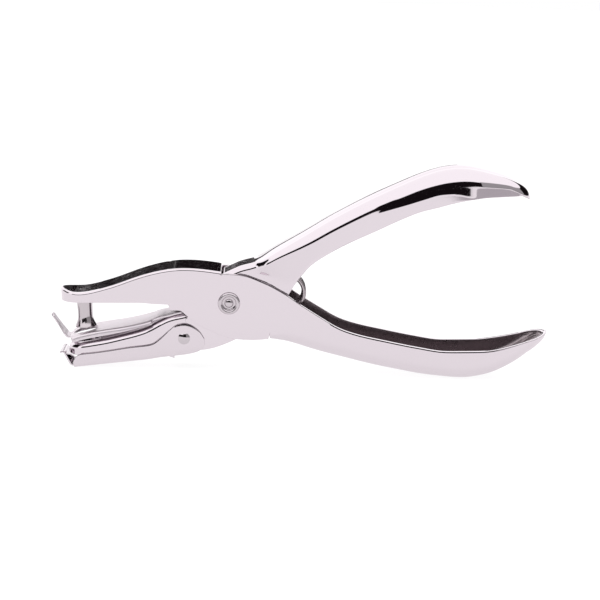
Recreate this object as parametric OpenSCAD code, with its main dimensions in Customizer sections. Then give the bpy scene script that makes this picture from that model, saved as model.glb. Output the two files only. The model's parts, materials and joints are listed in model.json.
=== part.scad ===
// Plier hole punch: two crossed pressed-steel levers on one rivet, a waisted
// punch pin over a die, a spring-steel stripper plate, a torsion spring and a
// chip tray that swings down on two small rivets.
//
// Every piece is drawn round the main rivet, with the jaws at -X, the handles
// at +X and the open tool as it lies at rest. stand() then sets it on its tray
// and its lower handle, with the origin under the middle of its box.

/* [Levers] */
// Pivot axis to the middle of the punch, along the tool
jaw_reach = 40.5; // [38:0.1:46]
// Pivot axis to the tip of the lower handle
lower_handle_reach = 89.8; // [82:0.2:100]
// Pivot axis to the tip of the upper handle
upper_handle_reach = 84.1; // [78:0.2:98]
// Thickness of the pressed lever sheet
sheet_t = 1.2; // [0.9:0.1:1.4]
// Width of the upper jaw across its round nose
nose_w = 12; // [11:0.2:14]
// Width of the outer lever across its cheeks at the pivot
pivot_w = 14; // [13.4:0.2:16]
// Width of both handles where the hand grips them
grip_w = 16; // [15.4:0.2:20]
// Running gap between the cheeks of the two levers, each side
cheek_gap = 0.15; // [0.1:0.05:0.3]
// Outside radius of the jaw bends
jaw_bend_r = 1.7; // [1.5:0.1:2.2]
// Outside radius of the handle bends
grip_bend_r = 3.4; // [2.4:0.1:4]
// Rise of the handle web across its width
grip_crown = 0.5; // [0.1:0.1:1]

/* [Rivets] */
// Radius of the main rivet's shank
pivot_r = 2; // [1.5:0.1:2.4]
// Radius of the main rivet's heads
pivot_head_r = 3.1; // [2.7:0.1:3.6]
// Height of the main rivet's heads
pivot_head_h = 0.8; // [0.5:0.1:1.2]
// Radius of the chip tray's rivets
tray_rivet_r = 0.9; // [0.7:0.1:1.1]
// Radius of the chip tray's rivet heads
tray_rivet_head_r = 1.7; // [1.4:0.1:2]
// Radial running clearance round a rivet
running_gap = 0.05; // [0.02:0.01:0.08]

/* [Punch and die] */
// Radius of the punched hole
hole_r = 3; // [2.5:0.1:3.2]
// Radius of the punch at its waist
waist_r = 2.1; // [1.6:0.05:2.4]
// Outside radius of the die's lower rim
die_r = 4.5; // [4.4:0.05:4.6]
// Height of the die
die_h = 1.9; // [1.6:0.1:2.4]

/* [Stripper plate] */
// Width of the stripper plate over its rolled sides
stripper_w = 12.6; // [11.8:0.2:13.4]
// Thickness of the stripper plate
stripper_t = 0.6; // [0.4:0.1:0.8]
// Length of the turned-up front lip
lip_len = 7; // [4:0.2:8]
// Slope of the lip above the horizontal
lip_slope = 57; // [40:1:65]

/* [Chip tray] */
// Thickness of the tray sheet
tray_t = 0.5; // [0.4:0.05:0.5]
// Gap between the tray and the lower jaw, each side
tray_gap = 0.1; // [0.08:0.02:0.12]

/* [Return spring] */
// Diameter of the spring wire
wire_d = 1.3; // [1:0.1:1.4]
// Mean radius of the spring coil
coil_r = 4.6; // [4.2:0.1:4.8]
// Number of turns in the coil
coil_turns = 3; // [2:1:3]
// Distance from one turn of wire to the next
coil_pitch = 1.8; // [1.75:0.05:2]

/* [Hidden] */

// Outlines are [distance from the pivot, height] pairs joined by smooth curves.
// Jaw distances are shares of jaw_reach, handle distances shares of the handle.
function jaw(rows) = [for (p = rows) [-p.x * jaw_reach, p.y]];
function low(rows) = [for (p = rows) [p.x * lower_handle_reach, p.y]];
function up(rows) = [for (p = rows) [p.x * upper_handle_reach, p.y]];

// Slope of an outline at point i: flat at a peak, else the mean that never overshoots
function chord(p, i) = (p[i + 1].y - p[i].y) / (p[i + 1].x - p[i].x);
function slope_at(p, i) =
    let (last = len(p) - 1)
    i == 0 ? chord(p, 0)
    : i == last ? chord(p, last - 1)
    : let (a = chord(p, i - 1), b = chord(p, i)) a * b <= 0 ? 0 : 2 * a * b / (a + b);

// Height of a smooth outline at distance x
function height(p, x) =
    let (
        last = len(p) - 1,
        inside = [for (k = [0:last - 1]) if (x >= p[k].x) k],
        i = len(inside) == 0 ? 0 : inside[len(inside) - 1],
        span = p[i + 1].x - p[i].x,
        u = (x - p[i].x) / span
    )
    u < 0 ? p[0].y + slope_at(p, 0) * (x - p[0].x)
    : u > 1 ? p[last].y + slope_at(p, last) * (x - p[last].x)
    : (1 + 2 * u) * pow(1 - u, 2) * p[i].y + u * pow(1 - u, 2) * span * slope_at(p, i)
      + u * u * (3 - 2 * u) * p[i + 1].y - u * u * (1 - u) * span * slope_at(p, i + 1);

// A station of a pressed channel is [middle x, direction in plan as an angle].
// Straight stations look sideways; those of a round end fan round its centre.
nose_steps = 8;
function fan_in(centre) = [for (k = [0:nose_steps - 1]) [centre, 180 - 90 * k / nose_steps]];
function fan_out(centre) = [for (k = [1:nose_steps]) [centre, 90 - 90 * k / nose_steps]];
function straight(xs) = [for (x = xs) [x, 90]];
function plan(station, d) = [station.x + d * cos(station.y), -d * sin(station.y)];
function raised(station, d, outline, drop) =
    let (q = plan(station, d)) [q.x, q.y, height(outline, q.x) + drop];

// One sheet of a pressed channel: rows[i][k] holds the near half of station i from
// the middle outwards, inner[i][k] the same points one sheet thickness in, and
// cells first[i] to last[i] - 1 are metal. The far half is the mirror image. At a
// round end the middle points of the fan meet, and so do its near and far halves.
module pressed_sheet(rows, inner, first, last, fan_a, fan_b, end_a, end_b) {
    n = len(rows);
    m = len(rows[0]);
    block = n * m;
    function hub(i) = min(max(i, fan_a), fan_b);
    function middle(i, k) = abs(rows[hub(i)][k].y) < 0.001;
    function own(i, k) = middle(i, k) ? hub(i) : i;
    function shared(i, k) = middle(i, k) || (end_a && i == 0) || (end_b && i == n - 1);
    function id(side, skin, i, k) =
        own(i, k) * m + k + block * (2 * skin + (shared(i, k) ? 0 : side));
    function metal(i, k) = i >= 0 && i < n - 1 && k >= first[i] && k < last[i];
    function tri(a, b, c) = a == b || b == c || a == c ? [] : [[a, b, c]];
    function quad(a, b, c, d, flip) =
        flip ? concat(tri(a, c, b), tri(a, d, c)) : concat(tri(a, b, c), tri(a, c, d));
    function skin_faces(side, skin, i, k) =
        quad(id(side, skin, i, k), id(side, skin, i + 1, k), id(side, skin, i + 1, k + 1),
             id(side, skin, i, k + 1), side != skin);
    function rim(side, i, k, j, l) =
        quad(id(side, 0, i, k), id(side, 0, j, l), id(side, 1, j, l), id(side, 1, i, k), side == 1);
    mirror_points = [for (skin = [rows, inner], side = [1, -1], row = skin, p = row)
                     [p.x, side * p.y, p.z]];
    faces = [
        for (i = [0:n - 2], k = [0:m - 2], side = [0, 1])
            if (metal(i, k))
                each concat(
                    skin_faces(side, 0, i, k),
                    skin_faces(side, 1, i, k),
                    metal(i, k - 1) || middle(i, k) ? [] : rim(side, i + 1, k, i, k),
                    metal(i, k + 1) || middle(i, k + 1) ? [] : rim(side, i, k + 1, i + 1, k + 1),
                    metal(i - 1, k) || (end_a && i == 0) ? [] : rim(side, i, k, i, k + 1),
                    metal(i + 1, k) || (end_b && i == n - 2) ? []
                        : rim(side, i + 1, k + 1, i + 1, k))
    ];
    polyhedron(mirror_points, faces, convexity = 10);
}

// Outer lever: upper jaw and lower handle.
nose_back = 0.6;
nose_x = -jaw_reach - nose_back;
outer_jaw_top = jaw([[1.167, 3.9], [1.11, 3.15], [1.02, 2.85], [0.945, 3.35], [0.863, 4.2],
                     [0.772, 5.3], [0.68, 6.7], [0.589, 7.95], [0.501, 8.9], [0.411, 9.6],
                     [0.323, 9.9], [0.24, 9.8], [0.154, 9.45], [0.049, 8.8]]);
web_stop_x = -0.05 * jaw_reach;
shoulder_x = -0.41 * jaw_reach;
shoulder_run = 0.15;
relief = 0.3;
jaw_floor = 0.1;
outer_low_edge = concat(
    jaw([[1.167, jaw_floor], [0.62, jaw_floor], [0.501, -0.25]]),
    [[shoulder_x - shoulder_run, -0.4], [shoulder_x, -2]],
    jaw([[0.336, -2.1], [0.303, -3.1], [0.23, -5.7], [0.147, -7.5], [0.029, -9.6]]),
    low([[0.02, -10.3], [0.074, -10.6], [0.123, -10.3]]));
outer_top_edge = concat(
    [[web_stop_x + relief, 8.3]],
    low([[0.007, 8.2], [0.048, 7.8], [0.089, 6.4], [0.129, 4.8], [0.156, 3.4], [0.183, 2],
         [0.211, 0.1], [0.237, -1.4], [0.264, -3], [0.291, -4.5], [0.33, -6.7], [0.359, -7.9],
         [0.417, -9.5], [0.476, -10.7], [0.536, -11.9], [0.585, -12.8], [0.679, -14.1],
         [0.791, -14.1], [0.845, -13.5], [0.878, -12.9], [0.925, -11.9], [0.96, -11], [1, -10]]));
belly = low([[0.123, -10.8], [0.183, -12], [0.258, -14.2], [0.362, -16.7], [0.451, -18.8],
             [0.54, -20.5], [0.588, -21.4], [0.654, -22.2], [0.733, -22.8], [0.783, -22.2],
             [0.818, -21.5], [0.85, -20.4], [0.884, -19], [0.917, -17.3], [0.95, -15],
             [0.974, -13.4], [1, -12.2]]);
handle_web_x = 0.125 * lower_handle_reach;
tip_w = 0.78 * grip_w;
outer_tip_x = lower_handle_reach - tip_w / 2;
outer_half = concat(
    [[nose_x, nose_w / 2], [-0.4 * jaw_reach, (nose_w + 4 * pivot_w) / 10],
     [-0.12 * jaw_reach, pivot_w / 2], [0.1 * lower_handle_reach, pivot_w / 2]],
    low([[0.36, grip_w / 2], [0.8, grip_w / 2]]), [[outer_tip_x, tip_w / 2]]);
outer_stations = concat(
    fan_in(nose_x),
    straight([for (s = [0:9]) nose_x + s * (0.51 * jaw_reach) / 9]),
    straight([for (s = [0.45, 0.43]) -s * jaw_reach]),
    straight([shoulder_x - shoulder_run, shoulder_x]),
    straight([for (s = [0.38, 0.344, 0.31, 0.27, 0.235, 0.19, 0.15, 0.1]) -s * jaw_reach]),
    straight([web_stop_x, web_stop_x + relief]),
    straight([for (s = [0.007, 0.03, 0.055, 0.08, 0.103]) s * lower_handle_reach]),
    straight([handle_web_x - relief, handle_web_x]),
    straight([for (s = [0.14:0.025:0.49]) s * lower_handle_reach]),
    straight([for (s = [0:13]) 0.51 * lower_handle_reach
              + s * (outer_tip_x - 0.51 * lower_handle_reach) / 13]),
    fan_out(outer_tip_x));

arc_steps = 4;
web_rows = [0, 0.55];
function arc_angles() = [for (k = [0:arc_steps]) 90 * k / arc_steps];

// One station of a channel with its web on top, down to its first cheek point
function top_half(s, w, r, skin, crown, outline) =
    let (flat = w - r)
    concat(
        [for (f = web_rows) raised(s, f * flat, outline, -crown * f * f - skin)],
        [for (a = arc_angles())
            raised(s, flat + (r - skin) * sin(a), outline, (r - skin) * cos(a) - r - crown)]);

// The same with the web at the bottom, from the last cheek point to the middle
function bottom_half(s, w, r, skin, crown, outline) =
    let (flat = w - r)
    concat(
        [for (a = arc_angles())
            raised(s, flat + (r - skin) * cos(a), outline, crown + r - (r - skin) * sin(a))],
        [for (f = [web_rows[1], web_rows[0]]) raised(s, f * flat, outline, crown * f * f + skin)]);

bend_start_r = sheet_t + 0.2;
outer_bend_run = concat([[handle_web_x, bend_start_r]],
                        low([[0.15, 0.65 * grip_bend_r], [0.19, 0.9 * grip_bend_r],
                             [0.27, grip_bend_r], [1, grip_bend_r]]));
function outer_bend(x) =
    let (room = height(outer_top_edge, x) - height(belly, x) - grip_crown)
    min(height(outer_bend_run, x), 0.9 * room);

function outer_row(s, skin) =
    let (
        w = height(outer_half, min(max(s.x, nose_x), outer_tip_x)),
        edge_x = plan(s, w).x,
        has_top = s.x <= web_stop_x + 0.001,
        has_floor = s.x >= handle_web_x - 0.001,
        r_low = outer_bend(edge_x),
        top_part = top_half(s, w, jaw_bend_r, skin, 0, outer_jaw_top),
        low_part = bottom_half(s, w, r_low, skin, grip_crown, belly),
        rim = raised(s, w - skin, outer_top_edge, 0),
        edge = raised(s, w - skin, outer_low_edge, 0)
    )
    concat(
        has_top ? top_part : [for (p = top_part) rim],
        has_floor ? low_part : [for (p = low_part) edge]);

module outer_sheet() {
    top_cells = len(web_rows) + arc_steps;
    all_cells = 2 * top_cells + 1;
    pressed_sheet(
        [for (s = outer_stations) outer_row(s, 0)],
        [for (s = outer_stations) outer_row(s, sheet_t)],
        [for (s = outer_stations) s.x < web_stop_x - 0.001 ? 0 : top_cells],
        [for (s = outer_stations) s.x < handle_web_x - 0.001 ? top_cells + 1 : all_cells],
        nose_steps, len(outer_stations) - nose_steps - 1, true, true);
}

module outer_lever() color("gainsboro") stand() difference() {
    outer_sheet();
    pivot_hole(pivot_r);
    on_punch_axis() translate([0, 0, punch_len - spigot_h])
        cylinder(r = spigot_r, h = cut_len, $fn = 48);
}

// Inner lever: lower jaw and upper handle, narrow enough to turn inside the other.
inner_pivot_half = pivot_w / 2 - sheet_t - cheek_gap;
hinge_half = inner_pivot_half - tray_t - tray_gap;
lower_jaw_half = nose_w / 2;
lower_nose_x = -0.97 * jaw_reach;
inner_web_x = web_stop_x + 0.4;
lower_web_end_x = -0.29 * jaw_reach;
inner_tip_w = 0.77 * grip_w;
inner_tip_x = upper_handle_reach - inner_tip_w / 2;
tray_slope = 0.1;
tray_floor = -13.9;
jaw_to_floor = 0.5;
lower_jaw_top = concat(
    jaw([[1.13, -12.1], [1.035, -11.55], [0.965, -11], [0.864, -10.35], [0.75, -9.3],
         [0.608, -7.8], [0.539, -6.7], [0.467, -5.2], [0.401, -4], [0.296, -3.1]]),
    [[lower_web_end_x, -3]]);
upper_handle_top = concat(
    [[inner_web_x, 7.9]],
    up([[0.006, 8.8], [0.042, 10.2], [0.083, 10.9], [0.101, 11.5], [0.121, 12.8], [0.167, 15.2],
        [0.214, 17.4], [0.276, 20.4], [0.329, 23.1], [0.402, 26.4], [0.473, 29.4], [0.545, 32.1],
        [0.62, 34.8], [0.67, 36.3], [0.72, 37.3], [0.765, 37.6], [0.823, 37], [0.874, 35.9],
        [0.925, 34.5], [0.96, 33.1], [1, 31.2]]));
inner_rim = concat(
    [[lower_web_end_x + relief, -2.9]],
    jaw([[0.225, -0.5], [0.156, 4.2], [0.088, 6.5]]), [[inner_web_x - relief, 7.1]]);
inner_low_edge = concat(
    jaw([[1.13, -14.9], [1.05, -15.1]]),
    [for (s = [0.93, 0.3]) [-s * jaw_reach, tray_floor + tray_t + jaw_to_floor
                            - s * jaw_reach * tray_slope]],
    jaw([[0.161, -13.7], [0.049, -12.3]]),
    up([[0.021, -10.7], [0.071, -8.6], [0.131, -4.8], [0.178, -0.6], [0.2, 2.2], [0.215, 4.7],
        [0.243, 7.7], [0.27, 10.4], [0.319, 13.3], [0.371, 15.8], [0.425, 18], [0.494, 20.6],
        [0.553, 22.9], [0.634, 25.6], [0.684, 26.6], [0.733, 27.7], [0.795, 28.7],
        [0.848, 29.2], [0.915, 29.3], [0.963, 29.4], [1, 29.5]]));
inner_half = concat(
    [[lower_nose_x, lower_jaw_half], [-0.58 * jaw_reach, lower_jaw_half],
     [-0.45 * jaw_reach, hinge_half], [-0.13 * jaw_reach, hinge_half],
     [-0.09 * jaw_reach, inner_pivot_half]],
    up([[0.086, inner_pivot_half], [0.128, grip_w / 2], [0.785, grip_w / 2]]),
    [[inner_tip_x, inner_tip_w / 2]]);
knee_half = concat(
    [for (p = inner_half) if (p.x < 0.1 * upper_handle_reach) p],
    up([[0.202, inner_pivot_half], [0.226, 0.75 * grip_w / 2], [0.285, 0.88 * grip_w / 2],
        [0.357, 0.95 * grip_w / 2], [0.476, grip_w / 2], [0.785, grip_w / 2]]),
    [[inner_tip_x, inner_tip_w / 2]]);
knee_line = concat(
    jaw([[1.13, -14.3], [0.591, -11], [0.293, -5.5], [0.049, 4]]),
    up([[0.083, 8], [0.127, 7.2], [0.158, 6.3], [0.189, 5.4], [0.222, 6.6],
        [0.27, 11.6], [0.319, 14.3], [0.425, 19], [0.553, 23.8], [0.684, 27.8], [0.795, 29.9],
        [0.915, 30.2], [1, 30]]));
inner_bend = concat(
    [[lower_nose_x, jaw_bend_r]],
    up([[0.083, jaw_bend_r], [0.13, 0.55 * grip_bend_r], [0.48, grip_bend_r],
        [0.85, grip_bend_r], [1, 0.3 * grip_bend_r]]));
inner_crown = up([[0.083, 0], [0.13, grip_crown], [1, grip_crown]]);
inner_stations = concat(
    fan_in(lower_nose_x),
    straight([for (s = [0:8]) lower_nose_x + s * (0.97 - 0.31) * jaw_reach / 8]),
    straight([lower_web_end_x, lower_web_end_x + relief]),
    straight([for (s = [0.26:-0.035:0.06]) -s * jaw_reach]),
    straight([inner_web_x - relief, inner_web_x]),
    straight([for (s = [0.006, 0.024, 0.042, 0.06, 0.083, 0.094, 0.105, 0.116, 0.13, 0.15,
                        0.178, 0.2, 0.215, 0.229, 0.243, 0.27]) s * upper_handle_reach]),
    straight([for (s = [0:19]) upper_handle_reach * 0.3
              + s * (inner_tip_x - upper_handle_reach * 0.3) / 19]),
    fan_out(inner_tip_x));

row_gap = 0.15;
function lower_than(p, z) = [p.x, p.y, min(p.z, z - row_gap)];
function inner_row(s, skin) =
    let (
        x = min(max(s.x, lower_nose_x), inner_tip_x),
        w = height(inner_half, x),
        w_knee = height(knee_half, x),
        on_jaw = s.x <= lower_web_end_x + 0.001,
        has_top = on_jaw || s.x >= inner_web_x - 0.001,
        r = height(inner_bend, x),
        crown = x < 0.083 * upper_handle_reach ? 0 : height(inner_crown, x),
        outline = on_jaw ? lower_jaw_top : upper_handle_top,
        top_part = top_half(s, w, r, skin, crown, outline),
        rim = raised(s, w - skin, inner_rim, 0),
        bend_end = has_top ? top_part[len(top_part) - 1] : rim,
        knee = lower_than(raised(s, w_knee - skin, knee_line, 0), bend_end.z)
    )
    concat(
        has_top ? top_part : [for (p = top_part) rim],
        [knee, lower_than(raised(s, w_knee - skin, inner_low_edge, 0), knee.z)]);

module inner_sheet() {
    top_cells = len(web_rows) + arc_steps;
    pressed_sheet(
        [for (s = inner_stations) inner_row(s, 0)],
        [for (s = inner_stations) inner_row(s, sheet_t)],
        [for (s = inner_stations)
            s.x < lower_web_end_x - 0.001 || s.x > inner_web_x - 0.001 ? 0 : top_cells],
        [for (s = inner_stations) top_cells + 2],
        nose_steps, len(inner_stations) - nose_steps - 1, true, true);
}
module inner_lever() color("lightgray") stand() difference() {
    inner_sheet();
    pivot_hole(pivot_r + running_gap);
    tray_hole(tray_rivet_r);
    on_die_axis() translate([0, 0, -die_h]) cylinder(r = die_seat_r, h = cut_len, $fn = 48);
    on_stripper_rivet() cylinder(r = stripper_rivet_r, h = cut_len, center = true, $fn = 32);
}

// Long enough to cut right through any sheet
cut_len = 20;

// Cross axes shared by the holes and what runs in them.
module along_y(x, z) translate([x, 0, z]) rotate([90, 0, 0]) children();
module pivot_hole(r) along_y(0, 0) cylinder(r = r, h = 2 * grip_w, center = true, $fn = 64);
tray_hinge_x = -0.313 * jaw_reach;
tray_hinge_z = -10.3;
module tray_hole(r)
    along_y(tray_hinge_x, tray_hinge_z) cylinder(r = r, h = 2 * grip_w, center = true, $fn = 48);

module pivot_rivet() color("whitesmoke") stand() along_y(0, 0) {
    cylinder(r = pivot_r - 0.01, h = pivot_w, center = true, $fn = 64);
    for (side = [0, 1]) mirror([0, 0, side]) translate([0, 0, pivot_w / 2]) pivot_head();
}
// Rolled head with a hollow centre and a small peened dimple
module pivot_head() {
    hollow_r = 0.6 * pivot_head_r;
    edge_h = 0.25 * pivot_head_h;
    arc = [for (a = [0:15:180])
        [(pivot_head_r + hollow_r) / 2 + (pivot_head_r - hollow_r) / 2 * cos(a),
         edge_h + (pivot_head_h - edge_h) * sin(a)]];
    rotate_extrude($fn = 64)
        polygon(concat([[0, 0], [pivot_head_r, 0]], arc, [[0.3 * pivot_head_r, 0.15 * pivot_head_h],
                [0, 0.4 * pivot_head_h]]));
}

module tray_rivets() color("whitesmoke") stand() along_y(tray_hinge_x, tray_hinge_z)
    for (side = [0, 1]) mirror([0, 0, side]) {
        inner_face = hinge_half - sheet_t;
        outer_face = hinge_half + tray_gap + tray_t;
        head_h = 0.45;
        translate([0, 0, inner_face - head_h])
            cylinder(r = tray_rivet_r - 0.01, h = outer_face - inner_face + head_h, $fn = 48);
        translate([0, 0, inner_face - head_h - running_gap])
            cylinder(r = 1.5 * tray_rivet_r, h = head_h, $fn = 48);
        translate([0, 0, outer_face]) domed_head(tray_rivet_head_r, head_h);
    }
module domed_head(r, h) {
    ball = (r * r + h * h) / (2 * h);
    rotate_extrude($fn = 48)
        polygon(concat([[0, 0]], [for (a = [0:5])
            let (t = asin(r / ball) * (1 - a / 5)) [ball * sin(t), ball * cos(t) - ball + h]]));
}

// Punch: a spigot in the web, a collar, a waisted shank and a flared cutting end.
punch_lean = 2;
punch_tip_z = -7.8;
punch_len = height(outer_jaw_top, -jaw_reach) - punch_tip_z - 0.05;
spigot_h = sheet_t + 0.3;
spigot_r = 1.6;
shank_r = waist_r + 0.15;
collar_h = 0.9;
module on_punch_axis() translate([-jaw_reach + 0.1, 0, punch_tip_z]) rotate([0, -punch_lean, 0])
    children();
module punch_pin() color("silver") stand() on_punch_axis() {
    land = 0.35;
    flare_h = 3.4;
    seat = punch_len - sheet_t - 0.15;
    flare = [for (k = [0:8]) let (u = k / 8)
        [hole_r + (waist_r - hole_r) * (1 - pow(1 - u, 2)), land + (flare_h - land) * u]];
    rotate_extrude($fn = 64)
        polygon(concat([[0, 0], [hole_r, 0]], flare,
                [[shank_r, seat - collar_h], [shank_r + 0.5, seat - collar_h + 0.3],
                 [shank_r + 0.5, seat], [spigot_r - 0.01, seat], [spigot_r - 0.01, punch_len],
                 [0, punch_len]]));
}

// Die: a hardened bush under the paper slot, square to the punch when it cuts.
die_gap = 0.25;
die_seat_r = die_r - 0.6;
die_tilt = 8.5;
die_x = -0.975 * jaw_reach;
module on_die_axis() translate([die_x, 0, height(lower_jaw_top, die_x)]) rotate([0, -die_tilt, 0])
    children();
module die_bush() color("darkgray") stand() on_die_axis() {
    flange_top = -sheet_t - 0.35;
    bore_r = hole_r + die_gap;
    rotate_extrude($fn = 64)
        polygon([[bore_r, -0.1], [die_seat_r - 0.01, -0.1], [die_seat_r - 0.01, flange_top],
                 [die_r, flange_top], [die_r, -die_h - 0.6], [bore_r + 0.2, -die_h - 0.6],
                 [bore_r, -die_h]]);
}

// A bent strip: each path entry is [x, z, heading], met on the way to -X. The
// strip's outer face lies to the right of the heading. A row holds the near half
// from the middle outwards: the flat, the rolled edge and the flange's end.
function along(a) = [cos(a), sin(a)];
function bend_path(start, h0, h1, r, n) =
    let (s = sign(h1 - h0), centre = start + r * along(h0 + 90 * s))
    [for (k = [0:n]) let (h = h0 + (h1 - h0) * k / n, q = centre - r * along(h + 90 * s))
        [q.x, q.y, h]];
function onward(p, d) = [p.x + d * cos(p.z), p.y + d * sin(p.z), p.z];
function on_outline(outline, x) =
    let (step = 0.2, rise = height(outline, x + step) - height(outline, x - step))
    [x, height(outline, x), 180 + atan(rise / (2 * step))];
function strip_row(p, flat, r, edge_z, skin) =
    let (n = along(p.z - 90))
    concat(
        [for (f = web_rows) [p.x - skin * n.x, -f * flat, p.y - skin * n.y]],
        [for (a = arc_angles())
            let (d = r - (r - skin) * cos(a))
            [p.x - d * n.x, -flat - (r - skin) * sin(a), p.y - d * n.y]],
        [[p.x - r * n.x, -flat - r + skin, edge_z]]);

// Stripper: a spring-steel strip with rolled sides and a turned-up lip.
stripper_roll = 0.9;
stripper_flat = stripper_w / 2 - stripper_roll;
stripper_rivet_x = -0.357 * jaw_reach;
stripper_rivet_r = 0.9;
stripper_seat_gap = 0.06;
stripper_hole_r = hole_r + 0.45;
stripper_top = concat(
    jaw([[1.131, -10.4], [1.023, -8.9], [0.875, -7.7], [0.736, -6.9], [0.623, -6],
         [0.547, -5.2], [0.48, -4.1]]),
    [for (s = [0.42, 0.39, 0.36, 0.33, 0.3])
        [-s * jaw_reach, height(lower_jaw_top, -s * jaw_reach) + stripper_t + stripper_seat_gap]]);
flange_edge = jaw([[1.13, -11.9], [1.06, -10.8], [0.734, -8.2], [0.531, -6.1]]);
lip_bend_x = -1.105 * jaw_reach;
stripper_main = [for (s = [1.06, 0.98, 0.9, 0.82, 0.74, 0.66, 0.6, 0.54, 0.535, 0.5, 0.46, 0.43,
                           0.4, 0.37, 0.34, 0.32, 0.305]) on_outline(stripper_top, -s * jaw_reach)];
lip_bend = bend_path([lip_bend_x, height(stripper_top, lip_bend_x)],
                     on_outline(stripper_top, lip_bend_x).z, 180 - lip_slope, 0.8, 5);
lip_end = lip_bend[len(lip_bend) - 1];
lip_path = [for (u = [1, 0.97, 0.9, 0.8, 0.65, 0.35]) onward(lip_end, u * lip_len)];
lip_round = [0.45, 0.62, 0.8, 0.93, 1, 1];
stripper_path = concat(lip_path, [for (k = [len(lip_bend) - 1:-1:0]) lip_bend[k]], stripper_main);
lip_half = 0.47 * stripper_w;
tongue_half = 0.39 * stripper_w;
function has_flange(p) = p.z > 180 && p.x >= -1.065 * jaw_reach && p.x < -0.5375 * jaw_reach;
function stripper_half(i, p) =
    i < len(lip_round) ? lip_round[i] * lip_half
    : has_flange(p) ? stripper_flat
    : p.x < -0.6 * jaw_reach ? lip_half
    : p.x > -0.31 * jaw_reach ? 0.6 * tongue_half
    : p.x > -0.33 * jaw_reach ? 0.9 * tongue_half
    : tongue_half;
module stripper_sheet() {
    n = len(stripper_path);
    function row(i, skin) =
        let (p = stripper_path[i])
        strip_row(p, stripper_half(i, p), stripper_roll, height(flange_edge, p.x), skin);
    flat_cells = len(web_rows);
    pressed_sheet(
        [for (i = [0:n - 1]) row(i, 0)], [for (i = [0:n - 1]) row(i, stripper_t)],
        [for (i = [0:n - 1]) 0],
        [for (i = [0:n - 1])
            i < n - 1 && has_flange(stripper_path[i]) && has_flange(stripper_path[i + 1])
                ? flat_cells + arc_steps + 1 : flat_cells],
        0, n - 1, false, false);
}
module on_stripper_rivet() {
    p = on_outline(stripper_top, stripper_rivet_x);
    translate([p.x, 0, p.y]) rotate([0, 180 - p.z, 0]) children();
}
module stripper_plate() color("silver") stand() difference() {
    stripper_sheet();
    on_die_axis() translate([-0.6, 0, 0]) cylinder(r = stripper_hole_r, h = cut_len, $fn = 48);
    on_stripper_rivet()
        cylinder(r = stripper_rivet_r + 0.02, h = cut_len, center = true, $fn = 32);
}
module stripper_rivet() color("whitesmoke") stand() on_stripper_rivet() {
    tail_h = 0.4;
    reach = stripper_t + stripper_seat_gap + sheet_t + 0.05;
    translate([0, 0, -reach - tail_h])
        cylinder(r = stripper_rivet_r - 0.01, h = reach + tail_h + 0.02, $fn = 32);
    translate([0, 0, -reach - tail_h]) cylinder(r = 1.5 * stripper_rivet_r, h = tail_h, $fn = 32);
    translate([0, 0, 0.02]) domed_head(1.7 * stripper_rivet_r, 0.5);
}

// Chip tray: an open trough of thin sheet. It is drawn floor up, then turned over.
tray_roll = 0.9;
tray_half = concat(
    [[lower_nose_x, lower_jaw_half + tray_gap + tray_t],
     [-0.58 * jaw_reach, lower_jaw_half + tray_gap + tray_t],
     [-0.45 * jaw_reach, hinge_half + tray_gap + tray_t],
     [-0.1 * jaw_reach, hinge_half + tray_gap + tray_t]]);
tray_floor_end = -0.38 * jaw_reach;
tray_under = [for (x = [-1.2 * jaw_reach, tray_floor_end, 0])
    [x, -tray_floor - tray_slope * x]];
ear_under = jaw([[0.39, 16.2], [0.3, 15.8], [0.23, 15.2], [0.185, 14.4],
                 [0.163, 13.4], [0.148, 12.4]]);
tray_rim = jaw([[1.07, 14.9], [1.045, 14.5], [0.907, 13.9], [0.82, 13.4], [0.68, 12.5],
                [0.531, 11.8], [0.47, 10.2], [0.403, 7.7], [0.351, 6.3], [0.304, 6.05],
                [0.264, 6.5], [0.21, 7.9], [0.166, 9.6], [0.147, 11.2]]);
tray_floor_path = [for (s = [1.04, 0.94, 0.84, 0.74, 0.64, 0.58, 0.54, 0.5, 0.45, 0.42])
    on_outline(tray_under, -s * jaw_reach)];
tray_ear_path = [for (s = [0.38, 0.372, 0.35, 0.32, 0.29, 0.26, 0.23, 0.2, 0.18, 0.165, 0.155])
    on_outline(s > 0.375 ? tray_under : ear_under, -s * jaw_reach)];
tray_bend_x = -1.08 * jaw_reach;
tab_lean = 62;
tab_bend = bend_path([tray_bend_x, height(tray_under, tray_bend_x)],
                     on_outline(tray_under, tray_bend_x).z, 180 + tab_lean, 1.2, 4);
tab_end = tab_bend[len(tab_bend) - 1];
tab_len = 3.3;
tab_run = onward(tab_end, tab_len);
tab_curl = bend_path([tab_run.x, tab_run.y], tab_run.z, tab_run.z - 120, 0.45, 5);
tab_path = [for (k = [len(tab_curl) - 1:-1:0]) tab_curl[k]];
tray_path = concat(tab_path, [for (u = [0.6, 0.3]) onward(tab_end, u * tab_len)],
                   [for (k = [len(tab_bend) - 1:-1:0]) tab_bend[k]], tray_floor_path, tray_ear_path);
tab_half = 0.36 * nose_w;
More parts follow.
